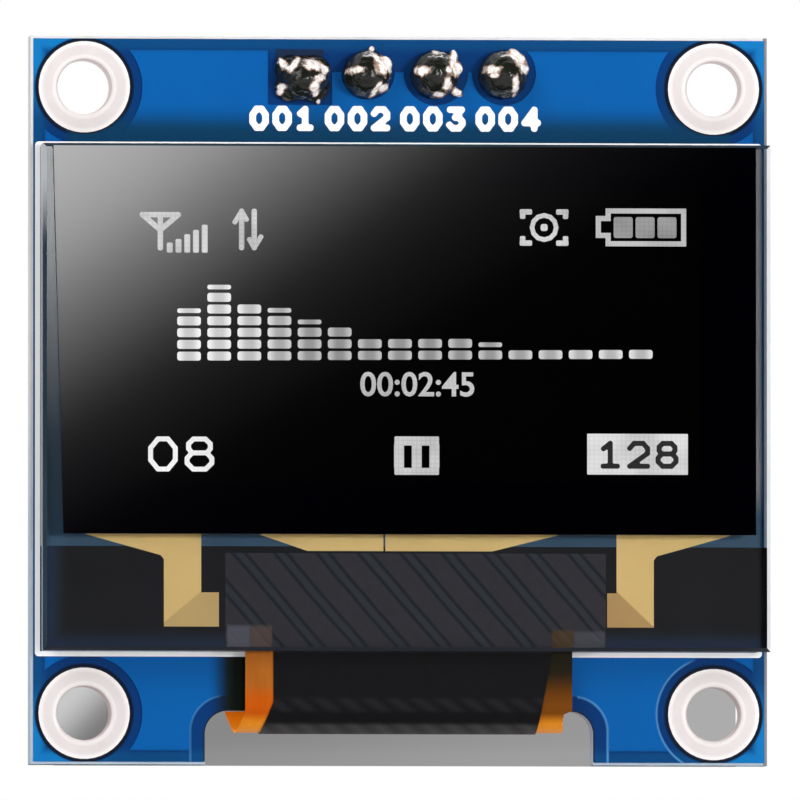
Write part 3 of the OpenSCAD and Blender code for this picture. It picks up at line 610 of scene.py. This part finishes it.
def lit_bars():
    """Lit bars, bright at their ends, and dimmer in the middle columns than at the sides."""
    f = Finish("lit_bars", **{"Roughness": 0.4, "Emission Strength": 1.0, "Specular IOR Level": 0.1})
    x = f.xyz()[0]
    ends = f.fade((x - FIRST_BAR[0]).wave(BAR_PITCH), 0.15, 0.72)
    sides = f.fade(x, -3.0, -7.0) + f.fade(x, 2.0, 8.0) * 0.6
    glow = f.grain(0.5, 2, 0.5)
    dim = f.mix(sides, (0.22, 0.22, 0.22), (0.52, 0.52, 0.52))
    full = f.mix(sides, (0.52, 0.52, 0.52), (0.90, 0.90, 0.90))
    f.give(Base_Color=(0.02, 0.02, 0.02), Emission_Color=f.mix(ends * 0.75 + glow * 0.25, dim, full))
    return f


# ---- modelling by hand ----

def start():
    """Leaves nothing selected, so that the next operator works on the new piece alone."""
    if bpy.context.mode != "OBJECT":
        bpy.ops.object.mode_set(mode="OBJECT")
    bpy.ops.object.select_all(action="DESELECT")


def edit(mode="FACE"):
    bpy.ops.object.mode_set(mode="EDIT")
    bpy.ops.mesh.select_mode(type=mode)


def join(pieces, name):
    """Makes one piece of several."""
    start()
    for piece in pieces:
        piece.select_set(True)
    bpy.context.view_layer.objects.active = pieces[0]
    if len(pieces) > 1:
        bpy.ops.object.join()
    pieces[0].name = pieces[0].data.name = name
    return pieces[0]


def settle():
    """Puts the active piece's place, turn and size into its mesh."""
    bpy.ops.object.transform_apply(location=True, rotation=True, scale=True)


def stand(piece, height):
    """Stands a flat drawing upright in front of the board, at a height above its bare face."""
    start()
    piece.select_set(True)
    bpy.context.view_layer.objects.active = piece
    piece.rotation_euler = (math.pi / 2, 0, 0)
    piece.location = (0, -height * MM, 0)
    settle()
    return piece


def finish_piece(piece, finish):
    """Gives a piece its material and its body."""
    piece.data.materials.clear()
    piece.data.materials.append(finish.material)
    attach(piece, "root")
    return piece


def flat_bar(x, y, wide, high, corner=0.0, thick=0.012, turn=0.0):
    """A flat bar with its middle at x, y, rounded corners and a little thickness."""
    start()
    bpy.ops.mesh.primitive_plane_add(size=1, location=(x * MM, y * MM, 0), rotation=(0, 0, turn))
    bar = bpy.context.object
    bar.scale = (wide * MM, high * MM, 1)
    settle()
    edit("VERT")
    bpy.ops.mesh.select_all(action="SELECT")
    if corner:
        bpy.ops.mesh.bevel(offset=corner * MM, segments=3, affect="VERTICES")
        bpy.ops.mesh.select_all(action="SELECT")
    bpy.ops.mesh.extrude_region_move(TRANSFORM_OT_translate={"value": (0, 0, thick * MM)})
    start()
    return bar


def stroke(x0, y0, x1, y1, wide, thick=0.012):
    """A straight line with round ends between two points."""
    length = math.hypot(x1 - x0, y1 - y0)
    return flat_bar((x0 + x1) / 2, (y0 + y1) / 2, length + wide, wide, wide * 0.42, thick,
                    math.atan2(y1 - y0, x1 - x0))


# Each figure's lines, from 0, 0 at its lower left to 1, 1 at its upper right
FIGURES = {
    "0": [[(0.3, 0), (0.7, 0), (1, 0.3), (1, 0.7), (0.7, 1), (0.3, 1), (0, 0.7), (0, 0.3), (0.3, 0)]],
    "1": [[(0.12, 0.76), (0.5, 1), (0.5, 0)], [(0.1, 0), (0.9, 0)]],
    "2": [[(0, 0.78), (0.25, 1), (0.75, 1), (1, 0.78), (1, 0.56), (0, 0), (1, 0)]],
    "3": [[(0.05, 1), (0.95, 1), (0.45, 0.58), (0.75, 0.58), (1, 0.36), (1, 0.22), (0.75, 0), (0.25, 0),
           (0, 0.18)]],
    "4": [[(0.74, 0), (0.74, 1), (0, 0.3), (1, 0.3)]],
    "8": [[(0.25, 0), (0.75, 0), (1, 0.2), (1, 0.36), (0.8, 0.54), (0.2, 0.54), (0, 0.36), (0, 0.2),
           (0.25, 0)],
          [(0.2, 0.54), (0.06, 0.68), (0.06, 0.84), (0.26, 1), (0.74, 1), (0.94, 0.84), (0.94, 0.68),
           (0.8, 0.54)]],
}


def figures(words, x, y, wide, high, gap, line, thick=0.012):
    """Numbers drawn with one round-ended line, with their middle at x, y."""
    left = x - (len(words) * (wide + gap) - gap) / 2
    strokes = []
    for i, figure in enumerate(words):
        for path in FIGURES[figure]:
            points = [(left + i * (wide + gap) + line / 2 + px * (wide - line),
                       y - high / 2 + line / 2 + py * (high - line)) for px, py in path]
            strokes += [stroke(*a, *b, line, line) for a, b in zip(points, points[1:])]
    piece = join(strokes, "figures")
    merge(piece, line / 8, 2)
    piece.scale = (1, 1, thick / line)
    settle()
    return piece


def merge(piece, grain, smooth):
    """Melts overlapping shapes into one closed, slightly rounded shape."""
    start()
    piece.select_set(True)
    bpy.context.view_layer.objects.active = piece
    for kind, facts in [("REMESH", {"mode": "VOXEL", "voxel_size": grain * MM}),
                        ("SMOOTH", {"factor": 0.5, "iterations": smooth})]:
        use(piece, kind, facts)


def use(piece, kind, facts):
    """Adds a modifier to the active piece and applies it."""
    step = piece.modifiers.new(kind.lower(), kind)
    for name, value in facts.items():
        setattr(step, name, value)
    bpy.ops.object.modifier_apply(modifier=step.name)


def flat_ring(x, y, radius, wide, sides=24, thick=0.012, turn=0.0):
    """A flat ring, or a frame with few sides."""
    start()
    bpy.ops.mesh.primitive_circle_add(vertices=sides, radius=radius * MM, fill_type="NGON",
                                      location=(x * MM, y * MM, 0), rotation=(0, 0, turn))
    ring = bpy.context.object
    settle()
    edit("FACE")
    bpy.ops.mesh.select_all(action="SELECT")
    bpy.ops.mesh.inset(thickness=wide * MM, depth=0)
    bpy.ops.mesh.delete(type="FACE")
    bpy.ops.mesh.select_all(action="SELECT")
    bpy.ops.mesh.extrude_region_move(TRANSFORM_OT_translate={"value": (0, 0, thick * MM)})
    start()
    return ring


def flat_frame(left, bottom, right, top, wide, corner, thick=0.012):
    """A rectangular outline with rounded corners."""
    start()
    middle = ((left + right) / 2 * MM, (bottom + top) / 2 * MM, 0)
    bpy.ops.mesh.primitive_plane_add(size=1, location=middle)
    outline = bpy.context.object
    outline.scale = ((right - left) * MM, (top - bottom) * MM, 1)
    settle()
    edit("VERT")
    bpy.ops.mesh.select_all(action="SELECT")
    bpy.ops.mesh.bevel(offset=corner * MM, segments=6, affect="VERTICES")
    bpy.ops.mesh.select_mode(type="FACE")
    bpy.ops.mesh.select_all(action="SELECT")
    bpy.ops.mesh.inset(thickness=wide * MM, depth=0)
    bpy.ops.mesh.delete(type="FACE")
    bpy.ops.mesh.select_all(action="SELECT")
    bpy.ops.mesh.extrude_region_move(TRANSFORM_OT_translate={"value": (0, 0, thick * MM)})
    start()
    return outline


def numerals(words, x, y, high, heavy=0.0, thick=0.012):
    """Plain numerals with their middle at x, y and figures of a given height."""
    start()
    bpy.ops.object.text_add(location=(0, 0, 0))
    text = bpy.context.object
    text.data.body = words
    text.data.align_x, text.data.align_y = "CENTER", "CENTER"
    text.data.size = high / 0.73 * MM
    text.data.offset = heavy * MM
    text.data.extrude = thick * MM / 2
    text.data.resolution_u = 4
    bpy.ops.object.convert(target="MESH")
    text = bpy.context.object
    low = Vector([min(v.co[i] for v in text.data.vertices) for i in range(3)])
    top = Vector([max(v.co[i] for v in text.data.vertices) for i in range(3)])
    text.data.transform(Matrix.Translation((low + top) / -2))
    text.data.transform(Matrix.Diagonal((1, high * MM / (top.y - low.y), 1, 1)))
    text.location = (x * MM, y * MM, thick * MM / 2)
    settle()
    start()
    return text


def copies(piece, moves):
    """The piece and copies of it, each with its own mesh, moved by each pair of distances."""
    made = []
    for dx, dy in moves:
        twin = piece.copy()
        twin.data = piece.data.copy()
        bpy.context.collection.objects.link(twin)
        twin.data.transform(Matrix.Translation((dx * MM, dy * MM, 0)))
        made.append(twin)
    bpy.data.objects.remove(piece)
    return made


# ---- the pieces of this module ----

def panel_outline():
    """White printed rectangle round the display panel."""
    line = 0.19
    outline = flat_frame(panel_low.x - line, panel_low.z - line, mask_high.x - 0.10,
                         panel_high.z + 0.11, line, 0.14)
    outline.name = outline.data.name = "panel_outline"
    return finish_piece(stand(outline, mask_front), white_print())


def pin_numbers():
    """Numbers under the pins."""
    spread, left_by = 1.108, 0.25
    middle = (PINS[0][0].x + PINS[3][1].x) / 2
    marks = [figures(f"00{i + 1}", middle - left_by + spread * ((low.x + high.x) / 2 - middle), 10.50,
                     0.73, 0.94, 0.13, 0.25)
             for i, (low, high) in enumerate(PINS)]
    return finish_piece(stand(join(marks, "pin_numbers"), mask_front), white_print())


# How many bars each column has, which columns have a cap and on what row, and where they stand
BARS = [4, 6, 5, 4, 3, 3, 2, 2, 2, 2, 1, 1, 1, 1, 1, 1]
CAPS = {0: 4, 1: 6, 3: 4, 4: 3, 10: 1}
FIRST_BAR = (-7.98, 1.577)
BAR_PITCH, ROW_PITCH, BAR_RISE = 1.1235, 0.4365, 0.008


def equalizer():
    """Sixteen columns of short bars, some of them with a thin cap."""
    first_x, first_y = FIRST_BAR
    wide = 0.88
    moves = [(c * BAR_PITCH, r * ROW_PITCH + c * BAR_RISE) for c, n in enumerate(BARS) for r in range(n)]
    cap_moves = [(c * BAR_PITCH, r * ROW_PITCH + c * BAR_RISE) for c, r in CAPS.items()]
    bars = copies(flat_bar(first_x, first_y, wide, 0.33, 0.09), moves)
    caps = copies(flat_bar(first_x, first_y - 0.056, wide, 0.17, 0.07), cap_moves)
    piece = join(bars + caps, "equalizer_bars")
    return finish_piece(stand(piece, screen_front), lit_bars())


def light_up(parts, name, finish_name, dark, bright):
    """Makes one lit piece of its parts, on the front of the screen."""
    glow = lit_dots(finish_name, (dark,) * 3, (bright,) * 3)
    return finish_piece(stand(join(parts, name), screen_front), glow)


def status_row():
    """Aerial, signal bars, transfer arrows, a ring in four corners, and a battery."""
    parts = []
    left, top, foot = -9.72, 6.833, 5.602
    fork = foot + 0.663
    parts += [stroke(left, top, left + 1.34, top, 0.2),
              stroke(left, top, left + 0.67, fork, 0.2),
              stroke(left + 1.34, top, left + 0.67, fork, 0.2),
              stroke(left + 0.67, top, left + 0.67, foot, 0.2)]
    for i, tall in enumerate([0.377, 0.51, 0.69, 0.85, 1.045]):
        parts.append(flat_bar(left + 1.02 + i * 0.326, foot - 0.18 + tall / 2, 0.22, tall, 0.05))
    up, down, low, high = -6.02, -5.55, 5.62, 6.97
    parts += [stroke(up, low, up, high, 0.2), stroke(up, high, up - 0.25, high - 0.4, 0.18),
              stroke(up, high, up + 0.18, high - 0.3, 0.18),
              stroke(down, low, down, high, 0.2), stroke(down, low, down + 0.25, low + 0.4, 0.18),
              stroke(down, low, down - 0.18, low + 0.3, 0.18)]
    x, y = 5.263, 6.404
    parts += [flat_ring(x, y, 0.54, 0.17, 12), flat_bar(x, y, 0.26, 0.26, 0.08)]
    for sx in (-1, 1):
        for sy in (-1, 1):
            parts += [flat_bar(x + sx * 0.68, y + sy * 0.58, 0.46, 0.2, 0.05),
                      flat_bar(x + sx * 0.80, y + sy * 0.50, 0.2, 0.36, 0.05)]
    icons = light_up(parts, "status_icons", "lit_icons", 0.42, 0.68)
    line, left, right, top, low = 0.19, 7.558, 10.568, 7.125, 5.715
    knob, knob_top, knob_low = 7.192, 6.842, 6.023
    middle_x, middle_y = (left + right) / 2, (top + low) / 2
    inner, side = line / 2, (top - knob_top + line) / 2
    shell = [flat_bar(middle_x, top - inner, right - left, line),
             flat_bar(middle_x, low + inner, right - left, line),
             flat_bar(right - inner, middle_y, line, top - low),
             flat_bar(left + inner, top - side, line, side * 2),
             flat_bar(left + inner, low + side, line, side * 2),
             flat_bar((left + knob + line) / 2, knob_top - inner, left - knob + line, line),
             flat_bar((left + knob + line) / 2, knob_low + inner, left - knob + line, line),
             flat_bar(knob + inner, (knob_top + knob_low) / 2, line, knob_top - knob_low)]
    shell = light_up(shell, "battery_outline", "lit_battery", 0.40, 0.55)
    cells = copies(flat_bar(8.215, 6.414, 0.71, 0.78, 0.08), [(i * 0.818, 0) for i in range(3)])
    cells = light_up(cells, "battery_cells", "lit_cells", 0.20, 0.33)
    return icons, shell, cells


BOX_THICK = 0.010


def lower_rows():
    """A running time, a track number, a pause mark, and a rate in a bright box."""
    time = numerals("00:02:45", 0.53, 0.56, 0.92, heavy=0.02)
    time = light_up([time], "running_time", "lit_time", 0.36, 0.55)
    track = figures("08", -8.27, -2.06, 1.1, 1.3, 0.26, 0.18)
    track = light_up([track], "track_number", "lit_track", 0.75, 0.92)
    x, y, wide = 0.51, -2.11, 1.66
    pause = [flat_bar(x, y + 0.56, wide, 0.34, 0.04), flat_bar(x, y - 0.57, wide, 0.26, 0.04)]
    pause += [flat_bar(x + dx, y, 0.37, 0.9) for dx in (-0.66, 0, 0.66)]
    pause = light_up(pause, "pause_mark", "lit_pause", 0.38, 0.62)
    box = flat_bar(8.75, -2.02, 3.76, 1.52, 0.03, thick=BOX_THICK)
    box = light_up([box], "rate_box", "lit_box", 0.50, 0.74)
    rate = figures("128", 8.79, -2.04, 0.86, 1.04, 0.2, 0.19, 0.004)
    ink = Finish("unlit_dots", **{"Roughness": 0.4, "Specular IOR Level": 0.1})
    ink.give(Base_Color=ink.mix(ink.grain(0.2), (0.010, 0.010, 0.010), (0.02, 0.02, 0.02)))
    rate = finish_piece(stand(join([rate], "rate_number"), screen_front + BOX_THICK), ink)
    return time, track, pause, box, rate


# The body of each soldered joint, which its finish paints dark as a reflection of a dim room, as balls:
# across and up from its pad's middle, half width, half height and half depth
BODIES = {number: [(-0.04, -0.06, 0.92, 0.90, 1.3)] for number in (2, 3, 4)}
BODIES[1] = [(0.10, -0.22, 0.92, 0.80, 1.3)]
BODIES[1] += [(0.10 + sx * 0.46, -0.22 + sz * 0.32, 0.57, 0.56, 0.5544)
              for sx in (-1, 1) for sz in (-1, 1)]

# The lumps on it, where painted highlights go: across and up, half width, half height, turn in degrees,
# how far out
LUMPS = {
    1: [(-0.645, 0.29, 0.32, 0.14, -58, 0.3), (-0.276, 0.29, 0.36, 0.12, 53, 0.45),
        (0.44, 0.25, 0.40, 0.22, -12, 0.5), (0.89, 0.06, 0.18, 0.16, 0, 0.3),
        (0.64, -0.24, 0.24, 0.16, 20, 0.4), (0.48, -0.57, 0.18, 0.24, 0, 0.4),
        (0.52, -0.78, 0.13, 0.13, 0, 0.2), (0.68, -1.09, 0.09, 0.09, 0, 0.05),
        (-0.71, -0.55, 0.16, 0.12, 0, 0.2), (-0.79, -0.74, 0.12, 0.10, 0, 0.15)],
    2: [(0.13, 0.90, 0.11, 0.11, 0, 0.1), (0.54, 0.25, 0.34, 0.38, 0, 0.5),
        (0.25, 0.53, 0.22, 0.12, -60, 0.4), (-0.53, 0.08, 0.30, 0.13, 10, 0.45),
        (0.23, -0.63, 0.35, 0.10, 55, 0.35), (0.54, -0.60, 0.22, 0.15, 20, 0.3)],
    3: [(-0.59, 0.05, 0.27, 0.19, 0, 0.4), (-0.06, 0.75, 0.12, 0.09, 0, 0.2),
        (0.62, 0.58, 0.17, 0.30, 0, 0.3), (0.68, 0.17, 0.28, 0.30, 0, 0.45),
        (0.43, 0.09, 0.14, 0.14, 0, 0.6), (0.35, -0.44, 0.18, 0.26, 0, 0.45),
        (0.07, -0.83, 0.27, 0.09, 0, 0.1), (0.80, -0.73, 0.22, 0.16, -30, 0.05)],
    4: [(0.48, 0.55, 0.47, 0.22, -45, 0.4), (0.72, 0.18, 0.20, 0.20, 0, 0.3),
        (-0.51, 0.10, 0.28, 0.16, 10, 0.45), (-0.47, -0.12, 0.16, 0.09, 0, 0.45),
        (0.35, -0.53, 0.13, 0.34, 0, 0.35)],
}


def solder_lump(number):
    """One soldered joint: its body and its lumps, which carry painted highlights, melted together over the
    pad.
    """
    low, high = edges(f"header_pin_{number}")
    x, z = (low.x + high.x) / 2, (low.z + high.z) / 2
    rounds = [(across, up, wide, tall, 0, 0.05, deep) for across, up, wide, tall, deep in BODIES[number]]
    rounds += [(*lump, 0.9 * min(lump[2:4])) for lump in LUMPS[number]]
    balls = []
    for across, up, wide, tall, turn, out, deep in rounds:
        start()
        bpy.ops.mesh.primitive_ico_sphere_add(subdivisions=4, radius=MM)
        ball = bpy.context.object
        ball.scale = (wide, deep, tall)
        ball.rotation_euler = (0, -math.radians(turn), 0)
        ball.location = ((x + across) * MM, -(mask_front + out) * MM, (z + up) * MM)
        settle()
        balls.append(ball)
    piece = join(balls, f"solder_lump_{number}")
    merge(piece, 0.035, 3)
    ripple = bpy.data.textures.new(f"ripple_{number}", "CLOUDS")
    ripple.noise_scale, ripple.noise_depth = 0.3 * MM, 0
    use(piece, "DISPLACE", {"texture": ripple, "strength": 0.07 * MM, "mid_level": 0.5})
    edit("VERT")
    bpy.ops.mesh.select_all(action="SELECT")
    bpy.ops.mesh.bisect(plane_co=(0, -(mask_front - 0.01) * MM, 0), plane_no=(0, 1, 0),
                        use_fill=True, clear_outer=True)
    start()
    piece.select_set(True)
    bpy.context.view_layer.objects.active = piece
    bpy.ops.object.shade_smooth()
    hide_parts(f"solder_joint_{number}")
    spots = [(x + across, z + up, wide, tall, math.radians(turn))
             for across, up, wide, tall, turn, _ in LUMPS[number]]
    return finish_piece(piece, solder(f"solder_{number}", spots))


# ---- stage, light and camera ----

def stage():
    """A pale floor, seen from above only, that keeps the object's shadow."""
    f = Blank("floor_white")
    path = f.node("ShaderNodeLightPath")
    seen = Value(f, path.outputs["Is Camera Ray"]).greater(
        Value(f, path.outputs["Is Glossy Ray"])).greater(Value(f, path.outputs["Is Transmission Ray"]))
    matt = f.node("ShaderNodeBsdfDiffuse", {}, {"Color": (0.8, 0.8, 0.8)})
    glow = f.node("ShaderNodeEmission", {}, {"Strength": seen * 0.35})
    both = f.node("ShaderNodeAddShader", {}, {0: matt.outputs[0], 1: glow.outputs[0]})
    clear = f.node("ShaderNodeBsdfTransparent")
    under = Value(f, f.node("ShaderNodeNewGeometry").outputs["Backfacing"])
    f.show(f.node("ShaderNodeMixShader", {}, {0: under, 1: both.outputs[0], 2: clear.outputs[0]}))
    start()
    bpy.ops.mesh.primitive_plane_add(size=1.6, location=(0, 0, cad_low.z))
    floor = bpy.context.object
    floor.name = "floor"
    floor.data.materials.append(f.material)


def painted_shadow_card():
    """A grey card close behind the notch and the lower holes, which only the camera sees: a painted shadow
    behind the board, seen through them.
    """
    f = Blank("shadow_card")
    x, _, z = f.xyz()
    notch = f.mix(f.fade(x, -8.0, 8.0) * 0.7 + f.fade(z, -12.4, -13.4) * 0.4,
                  (0.245, 0.245, 0.245), (0.340, 0.340, 0.340))
    left_hole = f.mix(f.fade(x * 0.7 - z * 0.7, -0.9, 0.9), (0.58, 0.58, 0.58), (0.20, 0.20, 0.20))
    right_hole = (0.41, 0.41, 0.41)
    grey = f.mix(x.over(9), f.mix((x * -1).over(9), notch, left_hole), right_hole)
    clear = f.node("ShaderNodeBsdfTransparent")
    glow = f.node("ShaderNodeEmission", {}, {"Color": grey})
    behind = Value(f, f.node("ShaderNodeNewGeometry").outputs["Backfacing"])
    f.show(f.node("ShaderNodeMixShader", {}, {0: behind, 1: glow.outputs[0], 2: clear.outputs[0]}))
    top = RINGS[2][1].z
    start()
    bpy.ops.mesh.primitive_plane_add(size=MM, rotation=(math.pi / 2, 0, 0))
    card = bpy.context.object
    card.name = "painted_shadow_card"
    card.scale = (board_high.x - board_low.x - 2, top - board_low.z, 1)
    card.location = (0, 1.8 * MM, (top + board_low.z) / 2 * MM)
    settle()
    card.data.materials.append(f.material)
    hide_from_light(card)


def hide_from_light(card, *more):
    """Leaves a card to the camera or to mirrors alone, so that it lights and shades nothing."""
    for sight in ("visible_diffuse", "visible_transmission", "visible_shadow",
                  "visible_volume_scatter", *more):
        setattr(card, sight, False)


def lamp(name, place, aim, size, power, colour=(1, 1, 1)):
    light = bpy.data.lights.new(name, "AREA")
    light.shape = "RECTANGLE"
    light.size, light.size_y = size
    light.energy = power
    light.color = colour
    lamp_object = bpy.data.objects.new(name, light)
    bpy.context.collection.objects.link(lamp_object)
    lamp_object.location = place
    lamp_object.rotation_euler = (Vector(aim) - Vector(place)).to_track_quat("-Z", "Y").to_euler()
    return lamp_object


def sky():
    """An even soft light; shiny things see white behind the object and a dim room in front."""
    world = bpy.data.worlds.new("studio")
    bpy.context.scene.world = world
    f = Nodes(world, "ShaderNodeOutputWorld", "Generated")
    away = Value(f, f.node("ShaderNodeSeparateXYZ", {}, {0: f.where}).outputs[1])
    path = f.node("ShaderNodeLightPath")
    glossy = Value(f, path.outputs["Is Glossy Ray"])
    white = Value(f, path.outputs["Is Camera Ray"]).greater(glossy * f.fade(away, -0.1, 0.2)).greater(
        Value(f, path.outputs["Is Transmission Ray"]))
    level = white + (1 - white) * (ROOM_LIGHT - glossy * (ROOM_LIGHT - ROOM_GLOSS))
    f.show(f.node("ShaderNodeBackground", {}, {"Color": (1, 1, 1), "Strength": level}))


# Strength of the soft light, and of the dim room that shiny things see
ROOM_LIGHT, ROOM_GLOSS = 0.28, 0.03

# How far off the camera stands, in metres, and how far it is turned and raised; the width of its
# sensor, and the width that it sees at the middle of the object, in millimetres
CAMERA_FAR = 1.35
CAMERA_TURN, CAMERA_RISE = math.radians(-5), math.radians(-2)
SENSOR_WIDE, VIEW_WIDE = 36, 29.7619


def camera():
    """Looks at the display from slightly left of its middle and slightly below it."""
    data = bpy.data.cameras.new("camera")
    data.sensor_width = SENSOR_WIDE
    eye = bpy.data.objects.new("camera", data)
    bpy.context.collection.objects.link(eye)
    out = Vector((math.sin(CAMERA_TURN) * math.cos(CAMERA_RISE),
                  -math.cos(CAMERA_TURN) * math.cos(CAMERA_RISE), math.sin(CAMERA_RISE)))
    eye.location = out * CAMERA_FAR
    eye.rotation_euler = (-out).to_track_quat("-Z", "Y").to_euler()
    data.lens = SENSOR_WIDE * CAMERA_FAR / (VIEW_WIDE * MM)
    data.shift_x, data.shift_y = 0.00125, 0.0011
    data.clip_start, data.clip_end = 0.01, 10
    bpy.context.scene.camera = eye
    return eye


# The glowing card: how far it stands in front of the screen, in metres, how much dimmer it gets per
# millimetre across and down, the whole length of that fade, and the gloss of the screen
CARD_FAR = 0.7
DIM_ACROSS, DIM_DOWN, DIM_LONG = 0.050, 0.073, 1.3
SCREEN_GLOSS = 0.0345


def screen_card(eye):
    """A dark card with a bright corner, which only the gloss of the display reflects."""
    f = Blank("card_glow")
    x, _, z = f.xyz()
    mirror = screen_low.y * MM
    from_mirror = mirror - eye.location.y
    grow = (from_mirror + CARD_FAR) / from_mirror

    def spread(place, middle):
        """The place on the card that the eye sees reflected at a place on the screen."""
        return middle + (place * MM - middle) * grow

    u = (x * MM - eye.location.x) / grow + eye.location.x
    v = (z * MM - eye.location.z) / grow + eye.location.z
    u, v = u / MM, v / MM
    along = ((u - screen_low.x) * DIM_ACROSS + (screen_high.z - v) * DIM_DOWN) / DIM_LONG
    stops = [(0.0, 0.43), (0.11, 0.36), (0.215, 0.28), (0.323, 0.162), (0.423, 0.093), (0.53, 0.035),
             (0.615, 0.010), (0.75, 0.004), (1.0, 0.0)]
    glow = f.node("ShaderNodeValToRGB", {"stops": [(at, (level, level, level, 1)) for at, level in stops]},
                  {0: along})
    edge = f.fade((v - screen_low.z) - (u - screen_low.x) * 0.58, -0.4, 0.5)
    strength = (edge * 0.85 + 0.15) / SCREEN_GLOSS
    f.show(f.node("ShaderNodeEmission", {}, {"Color": glow.outputs[0], "Strength": strength}))
    start()
    left, right = [spread(x, eye.location.x) for x in (screen_low.x - 2, screen_high.x + 2)]
    bottom, top = [spread(z, eye.location.z) for z in (screen_low.z - 2, screen_high.z + 2)]
    bpy.ops.mesh.primitive_plane_add(size=1, rotation=(-math.pi / 2, 0, 0))
    card = bpy.context.object
    card.name = "screen_card"
    card.scale = (right - left, top - bottom, 1)
    card.location = ((left + right) / 2, mirror - CARD_FAR, (bottom + top) / 2)
    settle()
    card.data.materials.append(f.material)
    hide_from_light(card, "visible_camera")


# ---- putting it together ----

dress(laminate(), "board_core")
dress(lacquer(True), "front_mask")
dress(lacquer(False), "back_mask")
dress(copper_foil(), "front_copper", "back_copper")
dress(ring_tin(), *[f"mounting_ring_{i}" for i in range(1, 5)])
dress(tin(), "soldering_pads", "regulator_legs")
dress(dark_flux(), *[f"pin_barrel_{i}" for i in range(1, 5)])
dress(tin("dull_solder"), *[f"solder_joint_{i}" for i in range(1, 5)], "tail_contacts", "solder_fillets")
dress(gold_plating(), *[f"header_pin_{i}" for i in range(1, 5)])
dress(moulded_black("header_plastic"), "header_housing")
dress(moulded_black("regulator_epoxy", 0.15), "regulator_body")
for i in range(1, 6):
    chip_part(f"capacitor_{i}", (0.36, 0.22, 0.11), (0.48, 0.31, 0.17))
    chip_part(f"resistor_{i}", (0.012, 0.012, 0.013), (0.024, 0.024, 0.026))
dress(panel_glass("front_panel_glass", panel_high.z), "front_glass")
dress(panel_glass("rear_panel_glass", rear_top), "rear_glass")
dress(edge_seal(), "glass_seal")
dress(black_polarizer(), "polarizer", "picture_film")
dress(lead_gold(), "lead_left", "lead_right", "lead_middle_left", "lead_middle_right")
dress(black_resin(), "ledge_resin")
dress(silicon(), "driver_chip")
dress(amber_film(), "flex_film")
dress(black_cover(), "flex_cover")
dress(white_tape(), "panel_tape", "tail_tape")

panel_outline()
pin_numbers()
equalizer()
status_row()
lower_rows()
for number in LUMPS:
    solder_lump(number)

stage()
painted_shadow_card()
sky()
lamp("key", (0.30, -0.50, 0.04), (0, 0, 0), (0.12, 0.12), 1.9)
lamp("fill", (-0.34, -0.36, 0.30), (0, 0, 0), (0.3, 0.3), 1.5)
lamp("back", (0.10, 0.45, 0.30), (0, 0, 0), (0.3, 0.3), 2.4)
screen_card(camera())

scene = bpy.context.scene
scene.view_settings.view_transform = "Standard"
